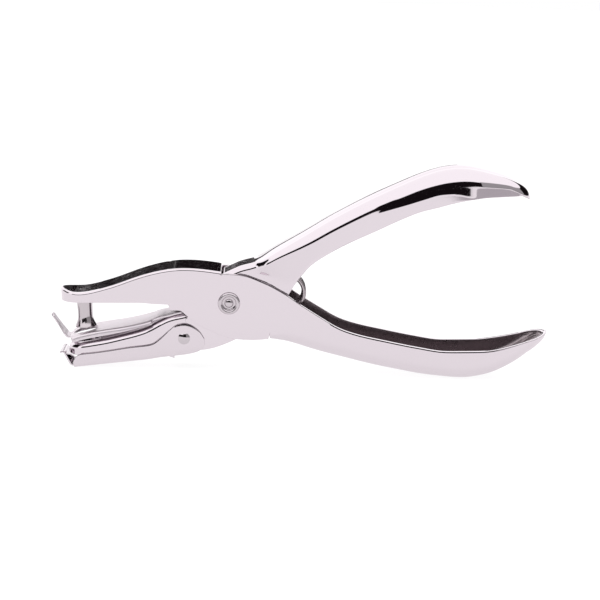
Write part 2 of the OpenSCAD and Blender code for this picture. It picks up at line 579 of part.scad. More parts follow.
module tray_sheet() {
    n = len(tray_path);
    walls_from = len(tray_path) - len(tray_floor_path) - len(tray_ear_path);
    floor_to = walls_from + len(tray_floor_path);
    function half(x) = height(tray_half, min(x, -0.1 * jaw_reach));
    function row(i, skin) =
        let (p = tray_path[i])
        strip_row(p, i < walls_from ? tab_half : half(p.x) - tray_roll,
                  tray_roll, height(tray_rim, p.x), skin);
    flat_cells = len(web_rows);
    all_cells = flat_cells + arc_steps + 1;
    pressed_sheet(
        [for (i = [0:n - 1]) row(i, 0)], [for (i = [0:n - 1]) row(i, tray_t)],
        [for (i = [0:n - 1]) i < floor_to ? 0 : flat_cells + arc_steps],
        [for (i = [0:n - 1]) i < walls_from ? flat_cells : all_cells],
        0, n - 1, false, false);
}
module chip_tray() color("gainsboro") stand() difference() {
    mirror([0, 0, 1]) tray_sheet();
    tray_hole(tray_rivet_r + running_gap);
}

// Return spring: one wire, coiled between two legs that push the handles apart.
coil_x = 16.4;
coil_z = 2;
spring_gap = 0.3;
wire_sides = 6;
curl_rings = 8;
low_leg_x = 0.352 * lower_handle_reach;
up_leg_x = 0.35 * upper_handle_reach;
function web_room(outline, x, clear) = clear / cos(atan(height(outline, x + 0.5)
                                                       - height(outline, x - 0.5)));
low_leg_end = [low_leg_x, height(belly, low_leg_x) + grip_crown * 0.3 + sheet_t
                          + web_room(belly, low_leg_x, wire_d / 2 + spring_gap)];
up_leg_end = [up_leg_x, height(upper_handle_top, up_leg_x) - grip_crown * 0.3 - sheet_t
                        - web_room(upper_handle_top, up_leg_x, wire_d / 2 + spring_gap)];
function bearing(p) = atan2(p.y - coil_z, p.x - coil_x);
function tangent_half(p) = acos(coil_r / norm([p.x - coil_x, p.y - coil_z]));
low_leg_a = bearing(low_leg_end) - tangent_half(low_leg_end) + 360;
up_leg_a = bearing(up_leg_end) + tangent_half(up_leg_end);
coil_sweep = low_leg_a - up_leg_a + 360 * coil_turns;
coil_steps = ceil(coil_sweep / 360 * curl_rings);
coil_rise = coil_pitch * coil_sweep / 360;
coil_points = [for (k = [0:coil_steps])
    let (u = k / coil_steps, a = low_leg_a - coil_sweep * u)
    [coil_x + coil_r * cos(a), (0.5 - u) * coil_rise, coil_z + coil_r * sin(a)]];
leg_steps = 3;
function leg(end, y, from) = [for (k = [0:leg_steps - 1])
    [end.x, y, end.y] + ([from.x - end.x, 0, from.z - end.y]) * k / leg_steps];
wire_path = concat(
    leg(low_leg_end, coil_rise / 2, coil_points[0]), coil_points,
    [for (k = [leg_steps - 1:-1:0]) leg(up_leg_end, -coil_rise / 2, coil_points[coil_steps])[k]]);
function unit(v) = v / norm(v);
function heading_at(path, i) =
    unit(path[min(i + 1, len(path) - 1)] - path[max(i - 1, 0)]);
function wire_ring(path, i) =
    let (t = heading_at(path, i), across = unit(cross([0, 1, 0], t)), up = cross(t, across))
    [for (k = [0:wire_sides - 1])
        path[i] + wire_d / 2 * (across * cos(60 * k) + up * sin(60 * k))];
module wire_tube(path) {
    n = len(path);
    m = wire_sides;
    rings = [for (i = [0:n - 1]) each wire_ring(path, i)];
    walls = [for (i = [0:n - 2], k = [0:m - 1])
        each [[i * m + k, (i + 1) * m + k, i * m + (k + 1) % m],
              [i * m + (k + 1) % m, (i + 1) * m + k, (i + 1) * m + (k + 1) % m]]];
    caps = [for (k = [1:m - 2]) each [[0, k, k + 1],
                                      [(n - 1) * m, (n - 1) * m + k + 1, (n - 1) * m + k]]];
    polyhedron(rings, concat(walls, caps), convexity = 8);
}
// Least gap between parts of the wire more than half a turn apart
wire_gap = min([for (i = [0:len(wire_path) - 1], j = [i + curl_rings / 2 + 1:len(wire_path) - 1])
    norm(wire_path[i] - wire_path[j])]) - wire_d;
echo(least_gap_of_spring = wire_gap);
module return_spring() color("dimgray") stand() wire_tube(wire_path);

// Sets the tool on its tray corner and the low point of its handle
tray_foot = [tray_bend_x, -height(tray_under, tray_bend_x)];
belly_foot = belly[8];
rest_tilt = atan((tray_foot.y - belly_foot.y) / (belly_foot.x - tray_foot.x));
function at_rest(p) = [p.x * cos(rest_tilt) - p.y * sin(rest_tilt),
                       p.x * sin(rest_tilt) + p.y * cos(rest_tilt)];
lip_tip = at_rest(onward(lip_end, lip_len));
handle_tip = at_rest([lower_handle_reach, height(outer_top_edge, lower_handle_reach)]);
module stand() translate([-(lip_tip.x + handle_tip.x) / 2, 0, -at_rest(belly_foot).y])
    rotate([0, -rest_tilt, 0]) children();

outer_lever();
inner_lever();
pivot_rivet();
punch_pin();
die_bush();
stripper_plate();
stripper_rivet();
chip_tray();
tray_rivets();
return_spring();
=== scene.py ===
"""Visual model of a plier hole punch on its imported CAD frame.

Sizes are millimetres in the drawing frame of the tool: the origin lies on the
main rivet's axis, the jaws point to -X, the handles to +X and up is +Z. A Stand
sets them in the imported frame, which is in metres.
"""

import json
import logging
import math
from dataclasses import dataclass, field
from enum import Enum
from typing import Any, Callable, Iterable

import bmesh
import bpy
import numpy as np
from mathutils import Matrix, Vector

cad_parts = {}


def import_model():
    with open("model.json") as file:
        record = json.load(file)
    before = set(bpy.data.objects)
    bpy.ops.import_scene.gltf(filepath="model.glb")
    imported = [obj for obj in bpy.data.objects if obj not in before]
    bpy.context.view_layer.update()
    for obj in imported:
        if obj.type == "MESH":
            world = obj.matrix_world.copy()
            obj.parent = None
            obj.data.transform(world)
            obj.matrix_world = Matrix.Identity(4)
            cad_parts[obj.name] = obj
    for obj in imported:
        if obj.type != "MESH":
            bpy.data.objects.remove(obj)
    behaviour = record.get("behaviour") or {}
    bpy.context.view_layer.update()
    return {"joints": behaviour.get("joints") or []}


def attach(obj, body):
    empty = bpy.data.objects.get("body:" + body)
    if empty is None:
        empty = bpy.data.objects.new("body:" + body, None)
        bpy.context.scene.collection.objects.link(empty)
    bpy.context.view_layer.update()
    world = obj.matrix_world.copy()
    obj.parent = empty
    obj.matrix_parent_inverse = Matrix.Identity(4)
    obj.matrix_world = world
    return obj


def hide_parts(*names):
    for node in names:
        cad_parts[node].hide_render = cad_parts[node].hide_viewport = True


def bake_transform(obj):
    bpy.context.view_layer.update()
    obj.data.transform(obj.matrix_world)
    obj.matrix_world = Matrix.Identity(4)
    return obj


log = logging.getLogger("hole_punch")

MM = 0.001
Y_AXIS = (0.0, 1.0, 0.0)

# Reach of the jaws, the lower handle and the upper handle from the main rivet.
JAW = 40.5
LOW = 89.8
UP = 84.1

# The pressed sheet of both levers, and its outside width at three places.
SHEET = 1.2
NOSE_W = 12.0
PIVOT_W = 14.0
GRIP_W = 16.0

# Outside radii of the bends, and how far the handles' webs are crowned.
JAW_BEND = 1.7
GRIP_BEND = 3.4
CROWN = 0.5

# Where the upper jaw's web ends, and half the width of the lever that turns inside.
WEB_STOP = -0.05 * JAW
INNER_PIVOT_HALF = PIVOT_W / 2 - SHEET - 0.15

# The chip tray's sheet, the gap beside the jaw, its hinge, its floor and the floor's fall.
TRAY_SHEET = 0.5
TRAY_GAP = 0.1
HINGE_HALF = INNER_PIVOT_HALF - TRAY_SHEET - TRAY_GAP
TRAY_HINGE = (-0.313 * JAW, -10.3)
TRAY_FLOOR = -13.9
TRAY_SLOPE = 0.1

# The punched hole, and the clearances beside a turning and a fixed rivet.
HOLE_R = 3.0
RUNNING_GAP = 0.05
FIXED_GAP = 0.01

# The least inside radius of a bend, and the short row of cells beyond a web's end.
INNER_BEND = 0.15
END_ROW = 0.3

# How far the stripper's side of the jaw is drilled, and how near counts as at a place.
DRILL_LEN = 8.0
NEAR = 0.001

# Edges over this many degrees stay sharp or are rounded, and points this near are one.
SHARP_DEG = 35.0
WELD_M = 1e-7


class Slot(Enum):
    """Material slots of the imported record."""

    LEVER = "plated_steel"
    THIN = "plated_sheet"
    RIVET = "rivet_steel"
    TOOL = "tool_steel"
    WIRE = "spring_wire"


class Side(Enum):
    """The two sides of the tool, seen by the camera and away from it."""

    NEAR = -1
    FAR = 1


@dataclass(frozen=True)
class Stand:
    """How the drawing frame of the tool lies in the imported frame."""

    pivot: tuple[float, float, float]
    tilt: float

    @classmethod
    def from_joints(cls, joints: list[dict[str, Any]]) -> "Stand":
        """Finds the stand from the two hinge axes.

        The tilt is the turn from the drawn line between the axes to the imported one.

        Args:
            joints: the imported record's joints.

        Returns:
            The stand.
        """
        at = {j["name"]: j["pos_m"] for j in joints}
        pivot, hinge = at["main_pivot"], at["tray_hinge"]
        packed = math.atan2(hinge[2] - pivot[2], hinge[0] - pivot[0])
        drawn = math.atan2(TRAY_HINGE[1], TRAY_HINGE[0])
        return cls(tuple(pivot), packed - drawn)

    def matrix(self) -> Matrix:
        """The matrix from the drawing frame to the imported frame, both in metres."""
        return Matrix.Translation(self.pivot) @ Matrix.Rotation(-self.tilt, 4, "Y")

    def points(self, points: np.ndarray) -> np.ndarray:
        """Turns drawing-frame points in millimetres into packed ones in metres."""
        m = np.array(self.matrix())
        return np.asarray(points, float) * MM @ m[:3, :3].T + m[:3, 3]


def along(scale: float, rows: Iterable[tuple[float, float]]) -> np.ndarray:
    """Outline points whose distances are shares of a reach.

    Args:
        scale: the reach in millimetres, negative on the jaw side.
        rows: pairs of share and height.

    Returns:
        An array of [x, z] points.
    """
    return np.array([[s * scale, z] for s, z in rows], float)


class Outline:
    """A smooth height over distance through given points.

    Between points it is a cubic whose slopes never overshoot. A running mean with
    a bell weight then rounds what is left of the corners.
    """

    STEP = 0.1

    def __init__(self, *parts: Any, soft: float = 0.0) -> None:
        """Joins the parts into one outline.

        Args:
            parts: arrays or lists of [x, z] points, in order of x.
            soft: width of the bell in millimetres, or 0 for none.
        """
        p = np.vstack([np.asarray(a, float).reshape(-1, 2) for a in parts])
        self.x0, self.x1 = p[0, 0], p[-1, 0]
        self.grid = np.arange(self.x0, self.x1 + self.STEP, self.STEP)
        self.values = self._cubic(p, np.minimum(self.grid, self.x1))
        if soft > 0:
            self.values = self._softened(self.values, soft / self.STEP)

    @staticmethod
    def _softened(v: np.ndarray, width: float) -> np.ndarray:
        """Running mean with a bell weight, over values turned over at the ends.

        Args:
            v: even samples.
            width: standard deviation of the bell, in samples.

        Returns:
            As many smoothed samples.
        """
        reach = min(int(4 * width), len(v) - 1)
        bell = np.exp(-0.5 * (np.arange(-reach, reach + 1) / width) ** 2)
        before = 2 * v[0] - v[reach:0:-1]
        after = 2 * v[-1] - v[-2 : -reach - 2 : -1]
        return np.convolve(np.concatenate([before, v, after]), bell / bell.sum(), "valid")

    @staticmethod
    def _cubic(p: np.ndarray, x: np.ndarray) -> np.ndarray:
        """Hermite cubic whose slopes are the harmonic means of the chords.

        A point between a rise and a fall has no slope.

        Args:
            p: [x, z] points in order of x.
            x: where the height is wanted.

        Returns:
            The heights.
        """
        h = np.diff(p[:, 0])
        c = np.diff(p[:, 1]) / h
        m = np.concatenate([[c[0]], np.zeros(len(p) - 2), [c[-1]]])
        a, b = c[:-1], c[1:]
        same = a * b > 0
        m[1:-1][same] = 2 * a[same] * b[same] / (a[same] + b[same])
        i = np.clip(np.searchsorted(p[:, 0], x, "right") - 1, 0, len(h) - 1)
        u = (x - p[i, 0]) / h[i]
        return (
            (1 + 2 * u) * (1 - u) ** 2 * p[i, 1]
            + u * (1 - u) ** 2 * h[i] * m[i]
            + u * u * (3 - 2 * u) * p[i + 1, 1]
            - u * u * (1 - u) * h[i] * m[i + 1]
        )

    def __call__(self, x: Any) -> np.ndarray:
        """Height of the outline, carried on in a straight line past its ends.

        Args:
            x: one distance or an array of them.

        Returns:
            The heights.
        """
        x = np.asarray(x, float)
        v, s = self.values, self.STEP
        out = np.interp(x, self.grid, v)
        out = np.where(x < self.x0, v[0] + (x - self.x0) * (v[1] - v[0]) / s, out)
        return np.where(x > self.x1, v[-1] + (x - self.x1) * (v[-1] - v[-2]) / s, out)

    def heading(self, x: Any) -> np.ndarray:
        """Heading of the outline at x when it is followed towards -X, in radians."""
        d = 0.2
        return math.pi + np.arctan((self(np.asarray(x) + d) - self(np.asarray(x) - d)) / (2 * d))


def linear(tint: str) -> tuple[float, float, float, float]:
    """Turns an sRGB colour into a linear one.

    Args:
        tint: the colour as a hash and six hex digits.

    Returns:
        Red, green, blue and an alpha of 1.
    """
    parts = [int(tint[i : i + 2], 16) / 255 for i in (1, 3, 5)]
    r, g, b = [c / 12.92 if c <= 0.04045 else ((c + 0.055) / 1.055) ** 2.4 for c in parts]
    return r, g, b, 1.0


def add(tree: bpy.types.NodeTree, kind: str, settings: dict[str, Any] | None = None,
        **inputs: Any) -> bpy.types.Node:
    """Adds a node to a node tree.

    Args:
        tree: the tree.
        kind: the node's type name.
        settings: attributes of the node itself.
        inputs: values of its input sockets, or output sockets to link to them.
            An underscore in a name stands for a space.

    Returns:
        The new node.
    """
    node = tree.nodes.new(kind)
    for key, value in (settings or {}).items():
        setattr(node, key, value)
    for key, value in inputs.items():
        socket = node.inputs[key.replace("_", " ")]
        if isinstance(value, bpy.types.NodeSocket):
            tree.links.new(value, socket)
        else:
            socket.default_value = value
    return node


@dataclass(frozen=True)
class Finish:
    """A metal surface.

    Attributes:
        name: the material's name, after the real metal.
        slot: the record's material slot; not used.
        tint: sRGB colour of what it reflects.
        roughness: roughness where it is brightest.
        haze: roughness added in the dullest patches.
        haze_mm: size of those patches.
        wave_mm: height of the slow waves left by the press and the polishing wheel.
        wave_len_mm: length of those waves.
        grit_mm: depth of the fine marks.
        grit_len_mm: spacing of the fine marks, drawn as coarse as it needs to show.
    """

    name: str
    slot: Slot
    tint: str
    roughness: float
    haze: float = 0.05
    haze_mm: float = 1.5
    wave_mm: float = 0.004
    wave_len_mm: float = 9.0
    grit_mm: float = 0.0
    grit_len_mm: float = 0.4

    def material(self) -> bpy.types.Material:
        """Makes the material, or finds the one that was made before.

        Returns:
            The material: roughness that rises in soft patches, slow waves and fine marks.
        """
        found = bpy.data.materials.get(self.name)
        if found:
            return found
        mat = bpy.data.materials.new(self.name)
        mat.use_nodes = True
        tree = mat.node_tree
        shader = tree.nodes["Principled BSDF"]
        shader.inputs["Base Color"].default_value = linear(self.tint)
        shader.inputs["Metallic"].default_value = 1.0
        place = add(tree, "ShaderNodeTexCoord").outputs["Object"]

        def noise(size_mm: float, detail: float) -> bpy.types.NodeSocket:
            """Noise of the given size on the object."""
            kind = "ShaderNodeTexNoise"
            return add(tree, kind, Vector=place, Scale=1 / (size_mm * MM), Detail=detail).outputs["Fac"]

        bright, dull = 0.35, 0.75
        haze = add(tree, "ShaderNodeMapRange", Value=noise(self.haze_mm, 3.0), From_Min=bright,
                   From_Max=dull, To_Min=self.roughness, To_Max=self.roughness + self.haze)
        tree.links.new(haze.outputs["Result"], shader.inputs["Roughness"])
        bump = add(tree, "ShaderNodeBump", Height=noise(self.wave_len_mm, 1.0), Strength=1.0,
                   Distance=self.wave_mm * MM)
        if self.grit_mm:
            bump = add(tree, "ShaderNodeBump", Height=noise(self.grit_len_mm, 2.0), Strength=1.0,
                       Distance=self.grit_mm * MM, Normal=bump.outputs["Normal"])
        tree.links.new(bump.outputs["Normal"], shader.inputs["Normal"])
        return mat


# Bright nickel plate over pressed mild steel, drum polished before plating: a warm,
# faintly lilac mirror with the slow waves of the pressing and few dull patches.
NICKEL_PLATE = Finish("nickel_plated_pressed_steel", Slot.LEVER, "#d5ccd2", 0.045, haze=0.03)
# The same plate inside the channels, where no polishing wheel reaches: satin, and tinted darker grey as
# painted shade inside the channels.
NICKEL_INSIDE_PAINTED_SHADE = Finish("unpolished_nickel_with_painted_shade", Slot.LEVER, "#94898d", 0.26, haze=0.1,
                       grit_mm=0.002)
# The same plate on thin sheet, which waves more and is a little duller.
NICKEL_SHEET = Finish("nickel_plated_thin_sheet", Slot.THIN, "#d3cad0", 0.08, haze=0.06, wave_mm=0.006,
                      wave_len_mm=6.0)
# Cold-rolled spring steel, tumbled bright: soft grey gloss with a fine grain.
SPRING_STEEL = Finish("bright_spring_steel_strip", Slot.THIN, "#dcd3d9", 0.36, haze=0.08, wave_mm=0.003,
                      grit_mm=0.0008)
# Plated rivets, peened after plating: small dents break the gloss of the heads.
RIVET_STEEL = Finish("peened_plated_rivet_steel", Slot.RIVET, "#c4bcc1", 0.07, haze=0.06, wave_mm=0.02,
                     wave_len_mm=1.2)
# Turned and ground tool steel: clean gloss, neutral in colour.
TOOL_STEEL = Finish("ground_tool_steel", Slot.TOOL, "#bfb7bb", 0.1, haze=0.08, grit_mm=0.001,
                    grit_len_mm=0.3)
# Drawn spring wire: darker, satin, with marks of the die along it.
DRAWN_WIRE = Finish("drawn_spring_wire", Slot.WIRE, "#b5acb0", 0.18, haze=0.12, grit_mm=0.003,
                    grit_len_mm=0.35)


def put(name: str, data: Any) -> bpy.types.Object:
    """Makes an object of a mesh, lamp or camera and puts it in the scene."""
    obj = bpy.data.objects.new(name, data)
    bpy.context.scene.collection.objects.link(obj)
    return obj


@dataclass
class Workshop:
    """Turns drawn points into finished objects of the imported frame.

    Attributes:
        stand: how the tool stands, on which every mesh is set.
    """

    stand: Stand

    def shape(self, name: str, points: np.ndarray, faces: list[list[int]],
              sharp: float = SHARP_DEG) -> bpy.types.Object:
        """Makes a closed mesh object from drawn points.

        Args:
            name: the object's name.
            points: points in millimetres.
            faces: lists of point numbers.
            sharp: edges over this many degrees stay sharp.

        Returns:
            The object, shaded smooth, with its place in its mesh.
        """
        mesh = bpy.data.meshes.new(name)
        mesh.from_pydata(self.stand.points(points).tolist(), [], faces)
        bm = bmesh.new()
        bm.from_mesh(mesh)
        bmesh.ops.remove_doubles(bm, verts=bm.verts, dist=WELD_M)
        bmesh.ops.dissolve_degenerate(bm, edges=bm.edges, dist=WELD_M)
        bmesh.ops.recalc_face_normals(bm, faces=bm.faces)
        if bm.calc_volume(signed=True) < 0:
            bmesh.ops.reverse_faces(bm, faces=bm.faces)
        bm.to_mesh(mesh)
        bm.free()
        obj = put(name, mesh)
        self.smooth(obj, sharp)
        return obj

    def pressed(self, name: str, sheet: "PressedSheet") -> bpy.types.Object:
        """Makes a pressed lever, polished outside and along its edges, dull inside with a darker tint that
        paints the shade in its channels.

        Args:
            name: the object's name.
            sheet: the lever's sheet, whose outer faces come first and then the inner ones.

        Returns:
            The object.
        """
        obj = self.shape(name, *sheet.mesh())
        obj.data.materials.append(NICKEL_PLATE.material())
        # The inner faces get the dull material, whose darker tint is painted shade inside the channels.
        obj.data.materials.append(NICKEL_INSIDE_PAINTED_SHADE.material())
        index = np.zeros(len(obj.data.polygons), np.int32)
        index[sheet.outer_faces : 2 * sheet.outer_faces] = 1
        obj.data.polygons.foreach_set("material_index", index)
        return obj

    @staticmethod
    def change(obj: bpy.types.Object, kind: str, **settings: Any) -> None:
        """Gives obj a modifier of this kind with these settings."""
        mod = obj.modifiers.new(kind.lower(), kind)
        for key, value in settings.items():
            setattr(mod, key, value)

    @staticmethod
    def smooth(obj: bpy.types.Object, sharp: float) -> None:
        """Shades obj smooth, with edges over sharp degrees kept hard."""
        obj.data.polygons.foreach_set("use_smooth", np.ones(len(obj.data.polygons), bool))
        obj.data.set_sharp_from_angle(angle=math.radians(sharp))

    @staticmethod
    def bake(obj: bpy.types.Object) -> None:
        """Applies obj's modifiers to its mesh."""
        bpy.context.view_layer.update()
        graph = bpy.context.evaluated_depsgraph_get()
        mesh = bpy.data.meshes.new_from_object(obj.evaluated_get(graph))
        obj.modifiers.clear()
        obj.data = mesh

    def turned(self, name: str, profile: Any, at: Any, direction: Any, sides: int,
               sharp: float = SHARP_DEG) -> bpy.types.Object:
        """Makes a solid of revolution.

        Args:
            name: the object's name.
            profile: (radius, height) pairs that run round the section.
            at: the axis's start.
            direction: the way the axis points.
            sides: faces round the axis.
            sharp: edges over this many degrees stay sharp.

        Returns:
            The object.
        """
        points, faces = revolve(profile, sides)
        return self.shape(name, set_on(points, at, direction), faces, sharp)

    def drill(self, obj: bpy.types.Object, edge_round: float, *holes: tuple[float, float, Any, Any]) -> None:
        """Cuts round holes through obj and rounds its edges.

        The normals are then weighed by area, so that a flat stays flat up to its
        rounded edge.

        Args:
            obj: the object to cut.
            edge_round: width of the rounding in millimetres.
            holes: radius, length, start and direction of each hole's cylinder.
        """
        cutters = []
        for r, length, at, direction in holes:
            profile = [(0, 0), (r, 0), (r, length), (0, length)]
            cutters.append(self.turned("cutter", profile, at, direction, sides=64))
        for cutter in cutters:
            self.change(obj, "BOOLEAN", operation="DIFFERENCE", solver="EXACT", object=cutter)
        self.bake(obj)
        for cutter in cutters:
            bpy.data.objects.remove(cutter)
        self.change(obj, "BEVEL", width=edge_round * MM, segments=2, limit_method="ANGLE",
                    angle_limit=math.radians(SHARP_DEG), use_clamp_overlap=False, miter_outer="MITER_SHARP")
        self.bake(obj)
        self.smooth(obj, SHARP_DEG)
        self.change(obj, "WEIGHTED_NORMAL", mode="FACE_AREA", weight=80, keep_sharp=True)
        self.bake(obj)

    @staticmethod
    def dress(obj: bpy.types.Object, finish: Finish, body: str, *nodes: str) -> bpy.types.Object:
        """Gives obj its finish and body, and lets it stand for the CAD nodes.

        Args:
            obj: the object.
            finish: its finish, unless it has been given others before.
            body: the moving body it belongs to.
            nodes: the CAD nodes it stands for.

        Returns:
            The same object.
        """
        if not obj.data.materials:
            obj.data.materials.append(finish.material())
        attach(obj, body)
        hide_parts(*nodes)
        log.info("%s on %s: %d faces", obj.name, body, len(obj.data.polygons))
        return obj


def grid_faces(rows: int, around: int, closed: bool) -> np.ndarray:
    """Faces of a grid of points whose every row closes on itself.

    Point (i, k) has the number i times around, plus k.

    Args:
        rows: how many rows there are.
        around: points in a row.
        closed: whether the last row joins the first.

    Returns:
        Four point numbers for each face.
    """
    i, k = np.meshgrid(np.arange(rows if closed else rows - 1), np.arange(around), indexing="ij")
    j, m = (i + 1) % rows, (k + 1) % around
    corners = [i * around + k, j * around + k, j * around + m, i * around + m]
    return np.stack(corners, -1).reshape(-1, 4)


def revolve(profile: Any, sides: int) -> tuple[np.ndarray, list[list[int]]]:
    """A solid of revolution about Z.

    Point (i, k) is profile point k turned by i equal steps round the axis.

    Args:
        profile: (radius, height) pairs, closed back to the first.
        sides: steps round the axis.

    Returns:
        Points and faces.
    """
    p = np.asarray(profile, float)
    a = np.arange(sides) * 2 * math.pi / sides
    x, y = np.outer(np.cos(a), p[:, 0]), np.outer(np.sin(a), p[:, 0])
    pts = np.stack([x, y, np.tile(p[:, 1], (sides, 1))], -1)
    quads = grid_faces(sides, len(p), closed=True)
    on_axis = p[:, 0] < 1e-9
    flat = on_axis[quads % len(p)].all(1)
    return pts.reshape(-1, 3), quads[~flat].tolist()


def set_on(points: np.ndarray, at: Any, direction: Any) -> np.ndarray:
    """Moves points drawn round Z so that Z starts at a place and points a given way."""
    turn = np.array(Vector((0, 0, 1)).rotation_difference(Vector(direction)).to_matrix())
    return np.asarray(points) @ turn.T + np.asarray(at, float)


def across(radius: float, place: tuple[float, float]) -> tuple[float, float, Any, Any]:
    """A hole of this radius right across the tool at place (x, z)."""
    return radius, 2 * GRIP_W, (place[0], -GRIP_W, place[1]), Y_AXIS


def arc(centre: tuple[float, float], r: float, start: float, end: float, steps: int) -> list[Any]:
    """Points of a circle's arc from one angle to another, in degrees."""
    a = np.radians(np.linspace(start, end, steps + 1))
    return list(zip(centre[0] + r * np.cos(a), centre[1] + r * np.sin(a)))


def rivet_profile(shank: float, tail: float, levels: tuple[float, float, float], head: tuple[float, float],
                  steps: int) -> list[Any]:
    """Half section of a small rivet with a peened tail and a domed head.

    The dome is the arc of a ball whose radius is the sum of the squares of the
    head's radius and height over twice that height.

    Args:
        shank: radius of the shank.
        tail: radius of the tail, which is drawn in to nine tenths at its foot.
        levels: heights of the tail's foot, the tail's seat and the head's seat.
        head: radius and height of the head.
        steps: steps along the dome.

    Returns:
        (radius, height) pairs from the axis at the foot to the axis at the top.
    """
    foot, seat, top = levels
    head_r, head_h = head
    chamfer = 0.15
    ball = (head_r**2 + head_h**2) / (2 * head_h)
    half = math.degrees(math.asin(head_r / ball))
    dome = arc((0, top + head_h - ball), ball, 90 - half, 90, steps)
    peened = [(0, foot), (0.9 * tail, foot), (tail, foot + chamfer), (tail, seat)]
    return [*peened, (shank, seat), (shank, top), *dome]


@dataclass
class Stations:
    """Cross-sections of a pressed channel.

    Attributes:
        x: where each one starts on the middle line.
        angle: the way it runs from there in plan, which fans round the two ends.
    """

    x: np.ndarray
    angle: np.ndarray

    @classmethod
    def between(cls, start: float, end: float, cuts: list[float], step: float = 0.55,
                fan: int = 24) -> "Stations":
        """Even stations from start to end, exact at the cuts, fanned at both ends.

        Args:
            start: x of the first one.
            end: x of the last one.
            cuts: x of those that must be hit.
            step: about how far apart they are.
            fan: how many there are in the quarter turn at each end.

        Returns:
            The stations.
        """
        marks = [start, *sorted(cuts), end]
        xs = [start]
        for a, b in zip(marks, marks[1:]):
            n = max(1, int(round((b - a) / step)))
            xs += list(a + (b - a) * np.arange(1, n + 1) / n)
        turn = 90 * np.arange(fan) / fan
        x = np.concatenate([np.full(fan, start), xs, np.full(fan, end)])
        angle = np.concatenate([180 - turn, np.full(len(xs), 90.0), 90 - turn - 90 / fan])
        return cls(x, np.radians(angle))

    def column(self, d: Any, outline: Callable[[Any], Any], lift: Any = 0.0) -> np.ndarray:
        """One line of points, d from the middle line, at the outline's height plus lift."""
        x = self.x + d * np.cos(self.angle)
        y = -d * np.sin(self.angle)
        return np.stack([x, y, outline(x) + lift], -1)


@dataclass
class PressedSheet:
    """A bent sheet as one closed mesh, from the near half of both its faces.

    Point (i, k) of a face is column k of station i, and the columns run from the
    middle outwards. The far half is the mirror image. A strip between the two
    faces closes every edge of the metal.

    Attributes:
        outer: points of the outer face.
        inner: points of the inner face.
        metal: which of their cells are metal.
    """

    outer: np.ndarray
    inner: np.ndarray
    metal: np.ndarray

    def mesh(self) -> tuple[np.ndarray, list[list[int]]]:
        """Points and faces of the closed sheet.

        Four blocks of points hold the near and far half of both faces. Points that
        meet are welded, and the faces left inside the metal on the middle plane
        are dropped.

        Returns:
            Points, and lists of point numbers with the outer faces first.
        """
        n, m, _ = self.outer.shape
        flip = np.array([1, -1, 1])
        blocks = [self.outer, self.outer * flip, self.inner, self.inner * flip]
        pts = np.concatenate([b.reshape(-1, 3) for b in blocks])
        rounded = np.round(pts, 4) + 0.0
        _, first, weld = np.unique(rounded, axis=0, return_index=True, return_inverse=True)
        weld = first[weld.reshape(-1)]
        size = n * m
        i, k = np.nonzero(self.metal)
        cell = np.stack([i * m + k, (i + 1) * m + k, (i + 1) * m + k + 1, i * m + k + 1], -1)
        quads = [cell + b * size for b in range(4)]
        pad = np.pad(self.metal, 1)
        core = pad[1:-1, 1:-1]
        edges = [
            (core & ~pad[1:-1, :-2], (0, 0), (1, 0)),
            (core & ~pad[1:-1, 2:], (0, 1), (1, 1)),
            (core & ~pad[:-2, 1:-1], (0, 0), (0, 1)),
            (core & ~pad[2:, 1:-1], (1, 0), (1, 1)),
        ]
        for mask, a, b in edges:
            i, k = np.nonzero(mask)
            pa, pb = (i + a[0]) * m + k + a[1], (i + b[0]) * m + k + b[1]
            for half in (0, size):
                quads.append(np.stack([pa, pb, pb + 2 * size, pa + 2 * size], -1) + half)
        quads = weld[np.concatenate(quads)]
        inside = np.abs(pts[quads][:, :, 1]).max(1) < 1e-4
        faces = [list(dict.fromkeys(q)) for q in quads[~inside].tolist()]
        return pts, [f for f in faces if len(f) > 2]

    @property
    def outer_faces(self) -> int:
        """How many faces the outer face has, near and far half."""
        return 2 * int(self.metal.sum())


@dataclass(frozen=True)
class Cells:
    """How finely a channel's section is divided."""

    flat: int = 7
    bend: int = 12
    cheek: int = 6


def web_on_top(s: Stations, w: Any, r: Any, skin: float, crown: Any, outline: Any,
               cells: Cells) -> list[np.ndarray]:
    """Columns of a channel's top, from the middle to the top of the cheek.

    The web drops by crown times the square of the share of its half width, and a
    quarter circle of radius r joins it to the cheek.

    Args:
        s: the stations.
        w: half widths.
        r: outside radii of the bend.
        skin: depth under the outer face.
        crown: drop of the web at its edge.
        outline: height of the web's middle.
        cells: how finely it is divided.

    Returns:
        The columns.
    """
    q = np.maximum(r - skin, INNER_BEND)
    flat = w - skin - q
    cols = [s.column(f * flat, outline, -crown * f * f - skin) for f in np.arange(cells.flat) / cells.flat]
    for a in np.linspace(0, math.pi / 2, cells.bend + 1):
        cols.append(s.column(flat + q * math.sin(a), outline, q * math.cos(a) - q - skin - crown))
    return cols


def web_at_bottom(s: Stations, w: Any, r: Any, skin: float, crown: Any, outline: Any,
                  cells: Cells) -> list[np.ndarray]:
    """Columns of a channel's floor, the same form upside down and from the cheek inwards.

    Args:
        s: the stations.
        w: half widths.
        r: outside radii of the bend.
        skin: depth under the outer face.
        crown: rise of the floor at its edge.
        outline: height of the floor's middle.
        cells: how finely it is divided.

    Returns:
        The columns.
    """
    flat = w - r
    cols = []
    for a in np.linspace(0, math.pi / 2, cells.bend + 1):
        cols.append(s.column(flat + (r - skin) * math.cos(a), outline, crown + r - (r - skin) * math.sin(a)))
    shares = np.arange(cells.flat)[::-1] / cells.flat
    return cols + [s.column(f * flat, outline, crown * f * f + skin) for f in shares]


def spread(a: np.ndarray, b: np.ndarray, cells: int) -> list[np.ndarray]:
    """Columns strictly between columns a and b, evenly spaced."""
    return [a + (b - a) * t for t in np.arange(1, cells) / cells]


